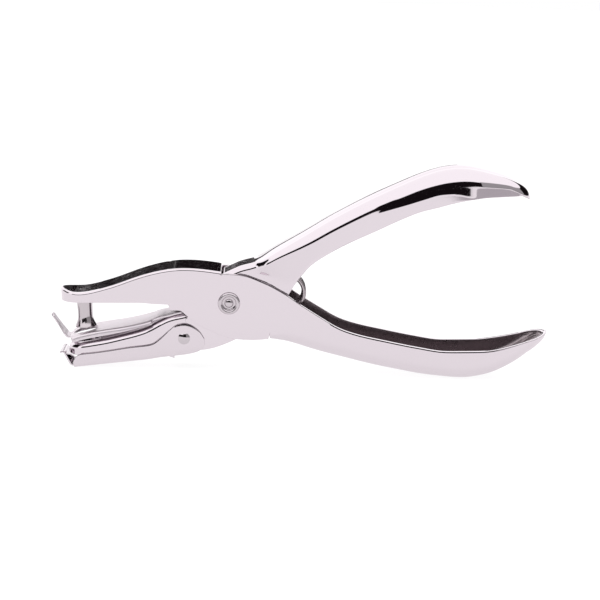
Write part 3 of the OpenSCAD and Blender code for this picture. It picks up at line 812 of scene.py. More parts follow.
@dataclass
class OuterLever:
    """Upper jaw and lower handle, pressed as one channel.

    The web lies on top up to the pivot and at the bottom from the handle on, and
    two bare cheeks join them over the rivet.
    """

    tip_w: float = 0.78 * GRIP_W
    nose: float = -JAW - 0.6
    web_start: float = 0.125 * LOW
    shoulder: float = -0.41 * JAW
    shoulder_len: float = 0.15
    pivot_r: float = 2.0
    edge_round: float = 0.2
    fold: float = 0.7
    cells: Cells = field(default_factory=Cells)
    web_top: Outline = field(default_factory=lambda: Outline(
        along(-JAW, [(1.167, 3.9), (1.11, 3.15), (1.02, 2.85), (0.945, 3.35), (0.863, 4.2), (0.772, 5.3),
                     (0.68, 6.7), (0.589, 7.95), (0.501, 8.9), (0.411, 9.6), (0.323, 9.9), (0.24, 9.8),
                     (0.154, 9.45), (0.049, 8.8)]), soft=1.4))
    belly: Outline = field(default_factory=lambda: Outline(
        along(LOW, [(0.123, -10.8), (0.183, -12), (0.258, -14.2), (0.362, -16.7), (0.451, -18.8),
                    (0.54, -20.5), (0.588, -21.4), (0.654, -22.2), (0.733, -22.8), (0.783, -22.2),
                    (0.818, -21.5), (0.85, -20.4), (0.884, -19), (0.917, -17.3), (0.95, -15),
                    (0.974, -13.4), (1, -12.2)]), soft=1.6))
    rim: Outline = field(default_factory=lambda: Outline(
        [[WEB_STOP + END_ROW, 8.3]],
        along(LOW, [(0.007, 8.2), (0.048, 7.8), (0.089, 6.4), (0.129, 4.8), (0.156, 3.4), (0.183, 2),
                    (0.211, 0.1), (0.237, -1.4), (0.264, -3), (0.291, -4.5), (0.33, -6.7), (0.359, -7.9),
                    (0.417, -9.5), (0.476, -10.7), (0.536, -11.9), (0.585, -12.8), (0.679, -14.1),
                    (0.791, -14.1), (0.845, -13.5), (0.878, -12.9), (0.925, -11.9), (0.96, -11),
                    (1, -10)]), soft=1.2))

    def low_edge(self) -> Outline:
        """Lower edge of the cheeks, with the shoulder behind the jaw."""
        return Outline(
            along(-JAW, [(1.167, 0.1), (0.62, 0.1), (0.501, -0.25)]),
            [[self.shoulder - self.shoulder_len, -0.4], [self.shoulder, -2]],
            along(-JAW, [(0.336, -2.1), (0.303, -3.1), (0.23, -5.7), (0.147, -7.5), (0.029, -9.6)]),
            along(LOW, [(0.02, -10.3), (0.074, -10.6), (0.123, -10.3)]))

    def half_width(self) -> Outline:
        """Half width in plan, wider over the pivot and at the grip."""
        return Outline(
            [[self.nose, NOSE_W / 2], [-0.4 * JAW, (NOSE_W + 4 * PIVOT_W) / 10], [-0.12 * JAW, PIVOT_W / 2],
             [0.1 * LOW, PIVOT_W / 2], [0.36 * LOW, GRIP_W / 2], [0.8 * LOW, GRIP_W / 2],
             [LOW - self.tip_w / 2, self.tip_w / 2]], soft=1.5)

    def bend(self) -> Outline:
        """Outside radius of the handle's bends, small where the web starts."""
        return Outline(
            [[self.web_start, SHEET + 0.2]],
            along(LOW, [(0.15, 0.65 * GRIP_BEND), (0.19, 0.9 * GRIP_BEND), (0.27, GRIP_BEND),
                        (1, GRIP_BEND)]),
            soft=0.6)

    def sheet(self) -> PressedSheet:
        """The bent sheet: web columns, cheek columns, floor columns.

        Where a web is missing, its columns lie on the cheek's edge and hold no metal.
        """
        s = Stations.between(
            self.nose, LOW - self.tip_w / 2,
            [self.shoulder - self.shoulder_len, self.shoulder, WEB_STOP, WEB_STOP + END_ROW,
             self.web_start - END_ROW, self.web_start])
        low_edge = self.low_edge()
        w = self.half_width()(s.x)
        edge_x = s.x + w * np.cos(s.angle)
        room = self.rim(edge_x) - self.belly(edge_x) - CROWN
        r_low = np.minimum(self.bend()(edge_x), 0.9 * room)
        has_top = s.x <= WEB_STOP + NEAR
        has_floor = s.x >= self.web_start - NEAR

        def face(skin: float) -> np.ndarray:
            """The face at a depth under the outer one."""
            up = web_on_top(s, w, self.fold, skin, 0.0, self.web_top, self.cells)
            down = web_at_bottom(s, w, r_low, skin, CROWN, self.belly, self.cells)
            rim, edge = s.column(w - skin, self.rim), s.column(w - skin, low_edge)
            up = [np.where(has_top[:, None], c, rim) for c in up]
            down = [np.where(has_floor[:, None], c, edge) for c in down]
            return np.stack(up + spread(up[-1], down[0], self.cells.cheek) + down, 1)

        outer, inner = face(0.0), face(SHEET)
        top_cells = self.cells.flat + self.cells.bend
        k = np.arange(outer.shape[1] - 1)
        metal = has_top[1:, None] | (k >= top_cells)
        metal &= has_floor[:-1, None] | (k < top_cells + self.cells.cheek)
        return PressedSheet(outer, inner, metal)

    def build(self, shop: Workshop) -> bpy.types.Object:
        """Makes the lever with its rivet hole."""
        obj = shop.pressed("upper_jaw_and_lower_handle", self.sheet())
        shop.drill(obj, self.edge_round, across(self.pivot_r, (0, 0)))
        return shop.dress(obj, NICKEL_PLATE, "outer", "outer_lever")


@dataclass
class InnerLever:
    """Lower jaw and upper handle, narrow enough to turn inside the other lever.

    The web steps out from the crossing width to the grip width just behind the
    pivot, and the cheek below it swings out more slowly.
    """

    tip_w: float = 0.77 * GRIP_W
    nose: float = -0.97 * JAW
    jaw_end: float = -0.29 * JAW
    web_start: float = WEB_STOP + 0.4
    edge_round: float = 0.2
    cheek_lean: float = 0.3
    row_gap: float = 0.15
    below_knee: int = 4
    cells: Cells = field(default_factory=Cells)
    jaw_top: Outline = field(default_factory=lambda: Outline(
        along(-JAW, [(1.13, -12.1), (1.035, -11.55), (0.965, -11), (0.864, -10.35), (0.75, -9.3),
                     (0.608, -7.8), (0.539, -6.7), (0.467, -5.2), (0.401, -4), (0.296, -3.1),
                     (0.29, -3)]), soft=1.0))
    handle_top: Outline = field(default_factory=lambda: Outline(
        [[WEB_STOP + 0.4, 7.9]],
        along(UP, [(0.006, 8.8), (0.042, 10.2), (0.083, 10.9), (0.101, 11.5), (0.121, 12.8), (0.167, 15.2),
                   (0.214, 17.4), (0.276, 20.4), (0.329, 23.1), (0.402, 26.4), (0.473, 29.4), (0.545, 32.1),
                   (0.62, 34.8), (0.67, 36.3), (0.72, 37.3), (0.765, 37.6), (0.823, 37), (0.874, 35.9),
                   (0.925, 34.5), (0.96, 33.1), (1, 31.2)]), soft=1.3))

    def rim(self) -> Outline:
        """Upper edge of the cheeks between the jaw's web and the handle's."""
        return Outline(
            [[self.jaw_end + END_ROW, -2.9]], along(-JAW, [(0.225, -0.5), (0.156, 4.2), (0.088, 6.5)]),
            [[self.web_start - END_ROW, 7.1]])

    def low_edge(self) -> Outline:
        """Lower edge of the cheeks, parallel to the tray's floor under the jaw."""
        over_tray = [(s, TRAY_FLOOR + TRAY_SHEET + 0.5 - s * JAW * TRAY_SLOPE) for s in (0.93, 0.3)]
        return Outline(
            along(-JAW, [(1.13, -14.9), (1.05, -15.1), *over_tray, (0.161, -13.7), (0.049, -12.3)]),
            along(UP, [(0.021, -10.7), (0.071, -8.6), (0.131, -4.8), (0.178, -0.6), (0.2, 2.2), (0.215, 4.7),
                       (0.243, 7.7), (0.27, 10.4), (0.319, 13.3), (0.371, 15.8), (0.425, 18), (0.494, 20.6),
                       (0.553, 22.9), (0.634, 25.6), (0.684, 26.6), (0.733, 27.7), (0.795, 28.7),
                       (0.848, 29.2), (0.915, 29.3), (0.963, 29.4), (1, 29.5)]), soft=0.8)

    def half_widths(self) -> tuple[Outline, Outline]:
        """Half widths in plan of the web and of the knee in the cheek.

        Returns:
            The web's, drawn in to a waist so that the cheek leans, and the knee's.
        """
        g, c = GRIP_W / 2, INNER_PIVOT_HALF
        narrow = [[self.nose, NOSE_W / 2], [-0.58 * JAW, NOSE_W / 2], [-0.45 * JAW, HINGE_HALF],
                  [-0.13 * JAW, HINGE_HALF], [-0.09 * JAW, c]]
        end = [[UP - self.tip_w / 2, self.tip_w / 2]]
        waist = g - self.cheek_lean
        web = Outline(narrow, along(UP, [(0.086, c), (0.128, g), (0.47, g), (0.55, waist), (0.79, waist),
                                         (0.815, g - 0.1)]), end, soft=0.7)
        knee = Outline(
            narrow, along(UP, [(0.086, c), (0.202, c), (0.226, 0.75 * g), (0.285, 0.88 * g),
                               (0.357, 0.95 * g), (0.476, g), (0.785, g)]), end, soft=1.0)
        return web, knee

    def knee_line(self) -> Outline:
        """Height of the knee, where the cheek turns in to the crossing width."""
        return Outline(
            along(-JAW, [(1.13, -14.3), (0.591, -11), (0.293, -5.5), (0.049, 4)]),
            along(UP, [(0.083, 8), (0.127, 7.2), (0.158, 6.3), (0.189, 5.4), (0.222, 6.6), (0.27, 11.6),
                       (0.319, 14.3), (0.425, 19), (0.47, 24.5), (0.5, 25.4), (0.54, 26.4), (0.587, 27.5),
                       (0.645, 29), (0.696, 30.2), (0.747, 30.4), (0.8, 29.3), (0.83, 29.8), (0.915, 30.2),
                       (1, 30)]), soft=0.8)

    def bend(self) -> Outline:
        """Outside radius of the web's bends."""
        return Outline(
            [[self.nose, JAW_BEND]],
            along(UP, [(0.083, JAW_BEND), (0.13, 0.55 * GRIP_BEND), (0.3, GRIP_BEND), (0.48, 1.1 * GRIP_BEND),
                       (0.72, 1.45 * GRIP_BEND), (0.82, 1.3 * GRIP_BEND), (1, 0.3 * GRIP_BEND)]), soft=1.0)

    def sheet(self) -> PressedSheet:
        """The bent sheet: web columns, cheek columns to the knee, and on to the edge.

        The crown sets in over the step from the crossing width to the grip width.
        """
        step_from, step_to = 0.083 * UP, 0.13 * UP
        s = Stations.between(
            self.nose, UP - self.tip_w / 2,
            [self.jaw_end, self.jaw_end + END_ROW, self.web_start - END_ROW, self.web_start, step_from,
             0.086 * UP, 0.128 * UP, 0.202 * UP])
        web_half, knee_half = self.half_widths()
        w, w_knee, r = web_half(s.x), knee_half(s.x), self.bend()(s.x)
        on_jaw = s.x <= self.jaw_end + NEAR
        has_top = on_jaw | (s.x >= self.web_start - NEAR)
        crown = CROWN * np.clip((s.x - step_from) / (step_to - step_from), 0, 1)
        rim, knee_line, low_edge = self.rim(), self.knee_line(), self.low_edge()

        def top(x: np.ndarray) -> np.ndarray:
            """Height of the jaw's web or the handle's."""
            return np.where(on_jaw, self.jaw_top(x), self.handle_top(x))

        def face(skin: float) -> np.ndarray:
            """The face at a depth under the outer one."""
            edge_up = s.column(w - skin, rim)
            up = web_on_top(s, w, r, skin, crown, top, self.cells)
            up = [np.where(has_top[:, None], c, edge_up) for c in up]
            knee, edge = s.column(w_knee - skin, knee_line), s.column(w_knee - skin, low_edge)
            knee[:, 2] = np.minimum(knee[:, 2], up[-1][:, 2] - self.row_gap)
            edge[:, 2] = np.minimum(edge[:, 2], knee[:, 2] - self.row_gap)
            above = spread(up[-1], knee, self.cells.cheek) + [knee]
            below = spread(knee, edge, self.below_knee) + [edge]
            return np.stack(up + above + below, 1)

        outer, inner = face(0.0), face(SHEET)
        k = np.arange(outer.shape[1] - 1)
        metal = (has_top[:-1] & has_top[1:])[:, None] | (k >= self.cells.flat + self.cells.bend)
        return PressedSheet(outer, inner, metal)

    def build(self, shop: Workshop, die: "DieBush", pin: "StripperRivet", pivot: "MainRivet",
              pins: "TrayRivets") -> bpy.types.Object:
        """Makes the lever with its four kinds of hole.

        Args:
            shop: the workshop.
            die: the die, whose seat is bored in the jaw.
            pin: the stripper's rivet.
            pivot: the main rivet.
            pins: the chip tray's rivets.

        Returns:
            The lever's object.
        """
        obj = shop.pressed("lower_jaw_and_upper_handle", self.sheet())
        seat, lean = die.axis(self.jaw_top)
        above = 6.0
        die_seat = (die.seat_r, above + die.height, seat + above * lean, -lean)
        shop.drill(obj, self.edge_round, die_seat, pin.hole(), across(pivot.radius + RUNNING_GAP, (0, 0)),
                   across(pins.radius, TRAY_HINGE))
        return shop.dress(obj, NICKEL_PLATE, "inner", "inner_lever")


@dataclass
class MainRivet:
    """Hollow-headed rivet: a shank with a rolled ring and a peened dimple each side."""

    radius: float = 2.0
    head_r: float = 3.1
    head_h: float = 0.8
    hollow_share: float = 0.6
    edge_share: float = 0.22
    floor_share: float = 0.9
    floor_h_share: float = 0.05
    bump_share: float = 0.72
    bump_h_share: float = 0.62

    def profile(self) -> list[tuple[float, float]]:
        """Half section of both heads and the shank, from one dimple to the other.

        The ring is half an ellipse on a low edge. The bump in the hollow that the
        ring surrounds is half a flatter ellipse.
        """
        seat, shank = PIVOT_W / 2, self.radius - FIXED_GAP
        hollow = self.hollow_share * self.head_r
        middle, ring = (self.head_r + hollow) / 2, (self.head_r - hollow) / 2
        edge = self.edge_share * self.head_h
        a = np.radians(np.linspace(0, 180, 19))
        top = zip(middle + ring * np.cos(a), seat + edge + (self.head_h - edge) * np.sin(a))
        t = np.linspace(1, 0, 33)[1:]
        bump = self.bump_h_share * np.sqrt(np.maximum(0, 1 - (t / self.bump_share) ** 2))
        floor = zip(self.floor_share * hollow * t, seat + (self.floor_h_share + bump) * self.head_h)
        half = [(shank, seat), (self.head_r, seat), *top, *floor]
        return [(r, -z) for r, z in half[::-1]] + half

    def build(self, shop: Workshop) -> bpy.types.Object:
        """Makes the rivet across the tool."""
        obj = shop.turned("main_rivet", self.profile(), (0, 0, 0), Y_AXIS, sides=128)
        return shop.dress(obj, RIVET_STEEL, "outer", "pivot_rivet")


@dataclass
class PunchPin:
    """Waisted punch: a spigot in the web, a collar, a shank and a flared cutting end."""

    lean_deg: float = 2.0
    tip_z: float = -7.8
    hole_r: float = HOLE_R
    waist_r: float = 2.1
    shank_r: float = 2.35
    collar_r: float = 2.75
    land: float = 0.35
    flare_h: float = 3.4
    collar_h: float = 0.9
    fillet_drop: float = 0.15
    web_gap: float = 0.15
    spigot_r: float = 1.6
    spigot_sunk: float = 0.3
    cup_wall: float = 0.9
    cup_depth: float = 0.2
    edge_w: float = 0.12
    edge_h: float = 0.08

    def profile(self, length: float) -> list[tuple[float, float]]:
        """Half section of the punch.

        The radius of the flare falls to the waist's with the square of the height left
        to it. From there it swells with the square of the height, and a fillet leads
        into the collar. The cutting face is a shallow cup.

        Args:
            length: from the cutting edge to just under the outside of the jaw's web.

        Returns:
            (radius, height) pairs from the axis at the cutting face upwards.
        """
        edge, waist, spigot = self.hole_r, self.waist_r, self.spigot_r - FIXED_GAP
        u = np.linspace(0, 1, 25)
        flare = zip(edge + (waist - edge) * (1 - (1 - u) ** 2), self.land + (self.flare_h - self.land) * u)
        seat, end = length - SHEET - self.web_gap, length - self.spigot_sunk
        fillet_z = seat - self.collar_h - self.fillet_drop
        v = np.linspace(0, 1, 9)[1:]
        swell = zip(waist + (self.shank_r - waist) * v * v, self.flare_h + (fillet_z - self.flare_h) * v)
        fillet = arc((self.collar_r, fillet_z), self.collar_r - self.shank_r, 180, 90, 6)
        cup = [(0, 1.25 * self.cup_depth), (edge - self.cup_wall, self.cup_depth), (edge - self.edge_w, 0),
               (edge, self.edge_h)]
        return [*cup, *flare, *swell, *fillet, (self.collar_r, seat), (spigot, seat), (spigot, end), (0, end)]

    def build(self, shop: Workshop, lever: OuterLever) -> bpy.types.Object:
        """Makes the punch under the upper jaw's web.

        Args:
            shop: the workshop.
            lever: the lever that holds it.

        Returns:
            The punch's object.
        """
        lean = math.radians(self.lean_deg)
        length = float(lever.web_top(-JAW)) - self.tip_z - 0.05
        obj = shop.turned("punch", self.profile(length), (-JAW + 0.1, 0, self.tip_z),
                          (-math.sin(lean), 0, math.cos(lean)), sides=128, sharp=30)
        return shop.dress(obj, TOOL_STEEL, "outer", "punch_pin")


@dataclass
class DieBush:
    """Hardened bush under the paper slot, square to the punch when it cuts."""

    radius: float = 4.5
    height: float = 1.9
    gap: float = 0.25
    tilt_deg: float = 8.5
    x: float = -0.975 * JAW
    neck_step: float = 0.6
    flange_gap: float = 0.35
    skirt: float = 0.6
    sunk: float = 0.1
    chamfer: float = 0.12
    foot_chamfer: float = 0.2
    bore_chamfer: float = 0.08
    relief: float = 0.25

    @property
    def seat_r(self) -> float:
        """Radius of the neck that sits in the jaw."""
        return self.radius - self.neck_step

    def axis(self, jaw_top: Outline) -> tuple[np.ndarray, np.ndarray]:
        """Where the die's axis meets the jaw, and the way it points."""
        a = math.radians(self.tilt_deg)
        return np.array([self.x, 0.0, float(jaw_top(self.x))]), np.array([-math.sin(a), 0.0, math.cos(a)])

    def build(self, shop: Workshop, lever: InnerLever) -> bpy.types.Object:
        """Makes the die in its hole in the lower jaw.

        Args:
            shop: the workshop.
            lever: the lever that holds it.

        Returns:
            The die's object.
        """
        bore, neck, rim = HOLE_R + self.gap, self.seat_r - FIXED_GAP, self.radius
        top, flange, low = -self.sunk, -SHEET - self.flange_gap, -self.height - self.skirt
        outside = [(neck - self.chamfer, top), (neck, top - self.chamfer), (neck, flange), (rim, flange),
                   (rim, low + self.foot_chamfer), (rim - self.foot_chamfer, low)]
        inside = [(bore + self.relief, low), (bore, -self.height), (bore, 2 * top)]
        profile = [(bore + self.bore_chamfer, top), *outside, *inside]
        obj = shop.turned("die", profile, *self.axis(lever.jaw_top), sides=128, sharp=30)
        return shop.dress(obj, TOOL_STEEL, "inner", "die_bush")


@dataclass
class Trail:
    """A path in the XZ plane: places and headings, met on the way to -X."""

    x: np.ndarray
    z: np.ndarray
    heading: np.ndarray

    @classmethod
    def on(cls, outline: Outline, x: Any) -> "Trail":
        """The stretch of an outline over the distances x."""
        x = np.asarray(x, float)
        return cls(x, outline(x), outline.heading(x))

    def bend(self, end: float, r: float, steps: int) -> "Trail":
        """A round bend that starts at the last point.

        Args:
            end: the heading it turns to.
            r: its radius.
            steps: how many points it has.

        Returns:
            The bend, without the point it starts from.
        """
        x, z, h0 = self.x[-1], self.z[-1], self.heading[-1]
        turn = math.copysign(math.pi / 2, end - h0)
        cx, cz = x + r * math.cos(h0 + turn), z + r * math.sin(h0 + turn)
        h = np.linspace(h0, end, steps + 1)[1:]
        return Trail(cx - r * np.cos(h + turn), cz - r * np.sin(h + turn), h)

    def onward(self, distances: Any) -> "Trail":
        """Points straight ahead of the last one."""
        d = np.asarray(distances, float)
        h = self.heading[-1]
        return Trail(self.x[-1] + d * math.cos(h), self.z[-1] + d * math.sin(h), np.full(len(d), h))

    def reverse(self) -> "Trail":
        """The same points in the other order."""
        return Trail(self.x[::-1], self.z[::-1], self.heading[::-1])

    @staticmethod
    def join(*parts: "Trail") -> "Trail":
        """One trail from several."""
        return Trail(*[np.concatenate([getattr(p, n) for p in parts]) for n in ("x", "z", "heading")])

    def strip(self, flat: np.ndarray, r: float, edge: Outline, skin: float, cells: Cells) -> np.ndarray:
        """One face of a strip bent along the trail, with rolled sides and flanges.

        A row runs out from the middle: the flat, a quarter circle of radius r, and
        straight down to the edge's height.

        Args:
            flat: half width of the flat at each point.
            r: outside radius of the rolled sides.
            edge: height of the flange's edge.
            skin: depth under the outer face.
            cells: how finely it is divided.

        Returns:
            An array of points, one row for each point of the trail.
        """
        nx, nz = np.cos(self.heading - math.pi / 2), np.sin(self.heading - math.pi / 2)

        def column(half: Any, depth: float) -> np.ndarray:
            """Points half from the middle, at a depth square to the trail."""
            return np.stack([self.x - depth * nx, -half, self.z - depth * nz], -1)

        cols = [column(f * flat, skin) for f in np.arange(cells.flat) / cells.flat]
        for a in np.linspace(0, math.pi / 2, cells.bend + 1):
            cols.append(column(flat + (r - skin) * math.sin(a), r - (r - skin) * math.cos(a)))
        end = column(flat + r - skin, r)
        end[:, 2] = edge(self.x)
        return np.stack(cols + spread(cols[-1], end, cells.cheek) + [end], 1)

    def sheet(self, flat: np.ndarray, r: float, edge: Outline, thickness: float, cells: Cells,
              metal: Callable[[np.ndarray], np.ndarray]) -> PressedSheet:
        """The strip with both its faces.

        Args:
            flat: half width of the flat at each point.
            r: outside radius of the rolled sides.
            edge: height of the flange's edge.
            thickness: thickness of the strip.
            cells: how finely it is divided.
            metal: tells from the numbers of the columns which cells hold metal.

        Returns:
            The pressed sheet.
        """
        outer, inner = [self.strip(flat, r, edge, skin, cells) for skin in (0.0, thickness)]
        return PressedSheet(outer, inner, metal(np.arange(outer.shape[1] - 1)))


@dataclass
class StripperPlate:
    """Spring-steel strip with rolled sides, a turned-up lip and the paper hole."""

    width: float = 12.6
    thickness: float = 0.6
    lip_len: float = 7.0
    lip_slope_deg: float = 57.0
    roll: float = 0.9
    seat_gap: float = 0.06
    hole_r: float = HOLE_R + 0.45
    lip_bend_x: float = -1.105 * JAW
    flange_from: float = -1.1 * JAW
    neck_from: float = -0.6 * JAW
    flange_to: float = -0.5375 * JAW
    back_from: float = -0.34 * JAW
    back_x: float = -0.305 * JAW
    body_share: float = 0.47
    tongue_share: float = 0.39
    neck_len: float = 0.06 * JAW
    back_len: float = 0.04 * JAW
    back_share: float = 0.4
    lip_bend_r: float = 0.8
    lip_tip_share: float = 0.24
    lip_root_share: float = 0.42
    lip_widening: float = 0.9
    lip_rounding: float = 0.15
    lip_cells: int = 40
    step: float = 0.35
    hole_ahead: float = 0.6
    pin_gap: float = 0.02
    edge_round: float = 0.1
    cells: Cells = field(default_factory=lambda: Cells(flat=8, bend=8, cheek=4))

    def top(self, jaw_top: Outline) -> Outline:
        """Outline of the plate's upper face, which lies on the jaw at its back."""
        lift = self.thickness + self.seat_gap
        seat = [[-s * JAW, float(jaw_top(-s * JAW)) + lift] for s in (0.42, 0.39, 0.36, 0.33, 0.3)]
        return Outline(
            along(-JAW, [(1.131, -10.4), (1.023, -8.9), (0.875, -7.7), (0.736, -6.9), (0.623, -6),
                         (0.547, -5.2), (0.48, -4.1)]), seat, soft=0.6)

    def trail(self, top: Outline) -> Trail:
        """The plate's path, from the lip's tip to the back.

        Points crowd together at the lip's tip, where its outline is round.

        Args:
            top: outline of the plate's upper face.

        Returns:
            The path, with the lip's points first.
        """
        start = Trail.on(top, [self.lip_bend_x])
        bend = start.bend(math.pi - math.radians(self.lip_slope_deg), self.lip_bend_r, 10)
        a = np.linspace(0, math.pi / 2, self.lip_cells + 1)[1:]
        lip = bend.onward(self.lip_len * (1 - np.cos(a) ** 1.5))
        main = Trail.on(top, np.arange(self.lip_bend_x + 0.2, self.back_x, self.step))
        return Trail.join(lip.reverse(), bend.reverse(), start, main)

    def half_flat(self, trail: Trail) -> np.ndarray:
        """Half width of the flat along the trail.

        The lip is a narrow tongue with a round tip that widens with the cube of the
        distance from it. The flat is full between the flanges. Behind them it narrows
        along an S to a second tongue, whose end is part of an ellipse.

        Args:
            trail: the plate's path.

        Returns:
            A half width for each point of the path.
        """
        x, z, full, tongue = trail.x, trail.z, self.body_share * self.width, self.tongue_share * self.width
        w = np.full(len(x), self.width / 2 - self.roll)
        w = np.where(x < self.flange_from, self.lip_root_share * full, w)
        neck = np.clip((x - self.neck_from) / self.neck_len, 0, 1)
        w = np.where(x > self.flange_to, full + (tongue - full) * neck * neck * (3 - 2 * neck), w)
        back = np.clip((x - self.back_from) / self.back_len, 0, 1)
        end = self.back_share + (1 - self.back_share) * np.sqrt(np.maximum(0, 1 - back**2))
        w = np.where(x > self.back_from, tongue * end, w)
        lip = slice(0, self.lip_cells)
        tip = np.hypot(x[lip] - x[0], z[lip] - z[0]) / (self.lip_widening * self.lip_len)
        share = self.lip_tip_share + (self.lip_root_share - self.lip_tip_share) * np.minimum(1, tip) ** 3
        blunt = 0.01
        w[lip] = full * share * np.sqrt(np.minimum(1, (tip + blunt) / self.lip_rounding))
        return w

    def build(self, shop: Workshop, lever: InnerLever, die: DieBush,
              pin: "StripperRivet") -> bpy.types.Object:
        """Makes the plate on the lower jaw.

        Args:
            shop: the workshop.
            lever: the lever that carries it.
            die: the die under its hole.
            pin: the rivet that holds it.

        Returns:
            The plate's object.
        """
        trail = self.trail(self.top(lever.jaw_top))
        edge = Outline(along(-JAW, [(1.13, -11.9), (1.06, -10.8), (0.734, -8.2), (0.531, -6.1)]), soft=0.5)
        flanged = (trail.x >= self.flange_from) & (trail.x < self.flange_to)
        sheet = trail.sheet(self.half_flat(trail), self.roll, edge, self.thickness, self.cells,
                            lambda k: (flanged[:-1] & flanged[1:])[:, None] | (k < self.cells.flat))
        obj = shop.shape("stripper_spring_plate", *sheet.mesh())
        seat, lean = die.axis(lever.jaw_top)
        ahead = self.hole_ahead * np.array([-lean[2], 0, lean[0]])
        shop.drill(obj, self.edge_round, (self.hole_r, DRILL_LEN, seat + ahead, lean), pin.hole(self.pin_gap))
        return shop.dress(obj, SPRING_STEEL, "inner", "stripper_plate")


@dataclass
class StripperRivet:
    """Small rivet that holds the stripper plate on the lower jaw."""

    radius: float = 0.9
    head_r: float = 1.53
    head_h: float = 0.5
    tail_h: float = 0.4
    tail_share: float = 1.5
    under_head: float = 0.02
    under_jaw: float = 0.05
    x: float = -0.357 * JAW

    def hole(self, gap: float = 0.0) -> tuple[float, float, Any, Any]:
        """The hole it goes through, of its own radius and a gap."""
        return self.radius + gap, DRILL_LEN, (self.x, 0, 0), (0, 0, -1)

    def build(self, shop: Workshop, plate: StripperPlate, lever: InnerLever) -> bpy.types.Object:
        """Makes the rivet through plate and jaw, square to the plate.

        Args:
            shop: the workshop.
            plate: the plate it holds.
            lever: the lever that it holds the plate on.

        Returns:
            The rivet's object.
        """
        top = plate.top(lever.jaw_top)
        turn = float(top.heading(self.x)) - math.pi
        reach = plate.thickness + plate.seat_gap + SHEET + self.under_jaw
        shank = self.radius - FIXED_GAP
        levels = (-reach - self.tail_h, -reach, self.under_head)
        profile = rivet_profile(shank, self.tail_share * shank, levels, (self.head_r, self.head_h), 10)
        obj = shop.turned("stripper_rivet_pin", profile, (self.x, 0, float(top(self.x))),
                          (-math.sin(turn), 0, math.cos(turn)), sides=64)
        return shop.dress(obj, RIVET_STEEL, "inner", "stripper_rivet")


@dataclass
class ChipTray:
    """Open trough of thin sheet with two hinge ears and a curled thumb tab.

    It is drawn floor up and then turned over.
    """

    roll: float = 0.9
    bend_x: float = -1.08 * JAW
    bend_r: float = 1.2
    tab_half: float = 0.36 * NOSE_W
    tab_lean_deg: float = 62.0
    tab_len: float = 3.3
    curl_r: float = 0.45
    curl_deg: float = 120.0
    step: float = 0.3
    floor_end: float = -0.38 * JAW
    edge_round: float = 0.08
    cells: Cells = field(default_factory=lambda: Cells(flat=7, bend=8, cheek=6))

    def half_width(self) -> Outline:
        """Half width outside the walls, a gap and a sheet wider than the jaw."""
        out = TRAY_GAP + TRAY_SHEET
        return Outline([[-1.2 * JAW, NOSE_W / 2 + out], [-0.58 * JAW, NOSE_W / 2 + out],
                        [-0.45 * JAW, HINGE_HALF + out], [-0.1 * JAW, HINGE_HALF + out]], soft=0.5)

    def rim(self) -> Outline:
        """Edge of the walls and the ears."""
        return Outline(
            along(-JAW, [(1.08, 17.2), (1.072, 16.6), (1.06, 15.2), (1.045, 14.6), (0.907, 13.9),
                         (0.82, 13.4), (0.68, 12.5), (0.531, 11.8), (0.47, 10.2), (0.403, 7.7),
                         (0.351, 6.3), (0.304, 6.05), (0.264, 6.5), (0.21, 7.9), (0.166, 9.6),
                         (0.147, 11.2)]), soft=0.5)

    def ear_edge(self) -> Outline:
        """The other edge of the ears, behind the floor."""
        return Outline(along(-JAW, [(0.39, 16.2), (0.3, 15.8), (0.23, 15.2), (0.185, 14.4), (0.163, 13.4),
                                    (0.148, 12.4)]), soft=0.4)

    def tab(self, under: Outline) -> Trail:
        """The thumb tab's path, from its curled end to the bend in the floor.

        Args:
            under: outline of the floor's underside.

        Returns:
            The path.
        """
        start = Trail.on(under, [self.bend_x])
        bend = start.bend(math.pi + math.radians(self.tab_lean_deg), self.bend_r, 8)
        tab = bend.onward(np.linspace(0, self.tab_len, 9)[1:])
        curl = tab.bend(tab.heading[-1] - math.radians(self.curl_deg), self.curl_r, 10)
        return Trail.join(curl.reverse(), tab.reverse(), bend.reverse(), start)

    def sheet(self) -> PressedSheet:
        """The bent sheet: the tab, the floor with its walls, and the ears without a floor."""
        under = Outline([[x, -TRAY_FLOOR - TRAY_SLOPE * x] for x in (-1.2 * JAW, self.floor_end, 0)])

        def stretch(outline: Outline, start: float, end: float) -> Trail:
            """Even points along an outline, with one at its end."""
            return Trail.on(outline, np.append(np.arange(start, end, self.step), end))

        tab = self.tab(under)
        floor = stretch(under, -1.073 * JAW, -0.42 * JAW)
        ears = stretch(self.ear_edge(), -0.38 * JAW, -0.155 * JAW)
        trail = Trail.join(tab, floor, ears)
        row = np.arange(len(trail.x))
        walls_from, ears_from = len(tab.x), len(tab.x) + len(floor.x)
        flat = np.where(row < walls_from, self.tab_half, self.half_width()(trail.x) - self.roll)
        cell_row, web, wall = row[:-1, None], self.cells.flat, self.cells.flat + self.cells.bend
        return trail.sheet(
            flat, self.roll, self.rim(), TRAY_SHEET, self.cells,
            lambda k: ((cell_row >= walls_from) | (k < web)) & ((cell_row < ears_from) | (k >= wall)))

    def build(self, shop: Workshop, pins: "TrayRivets") -> bpy.types.Object:
        """Makes the tray with its hinge holes.

        Args:
            shop: the workshop.
            pins: the rivets it hangs on.

        Returns:
            The tray's object.
        """
        points, faces = self.sheet().mesh()
        obj = shop.shape("hinged_chip_tray", points * [1, 1, -1], faces)
        shop.drill(obj, self.edge_round, across(pins.radius + RUNNING_GAP, TRAY_HINGE))
        return shop.dress(obj, NICKEL_SHEET, "tray", "chip_tray")


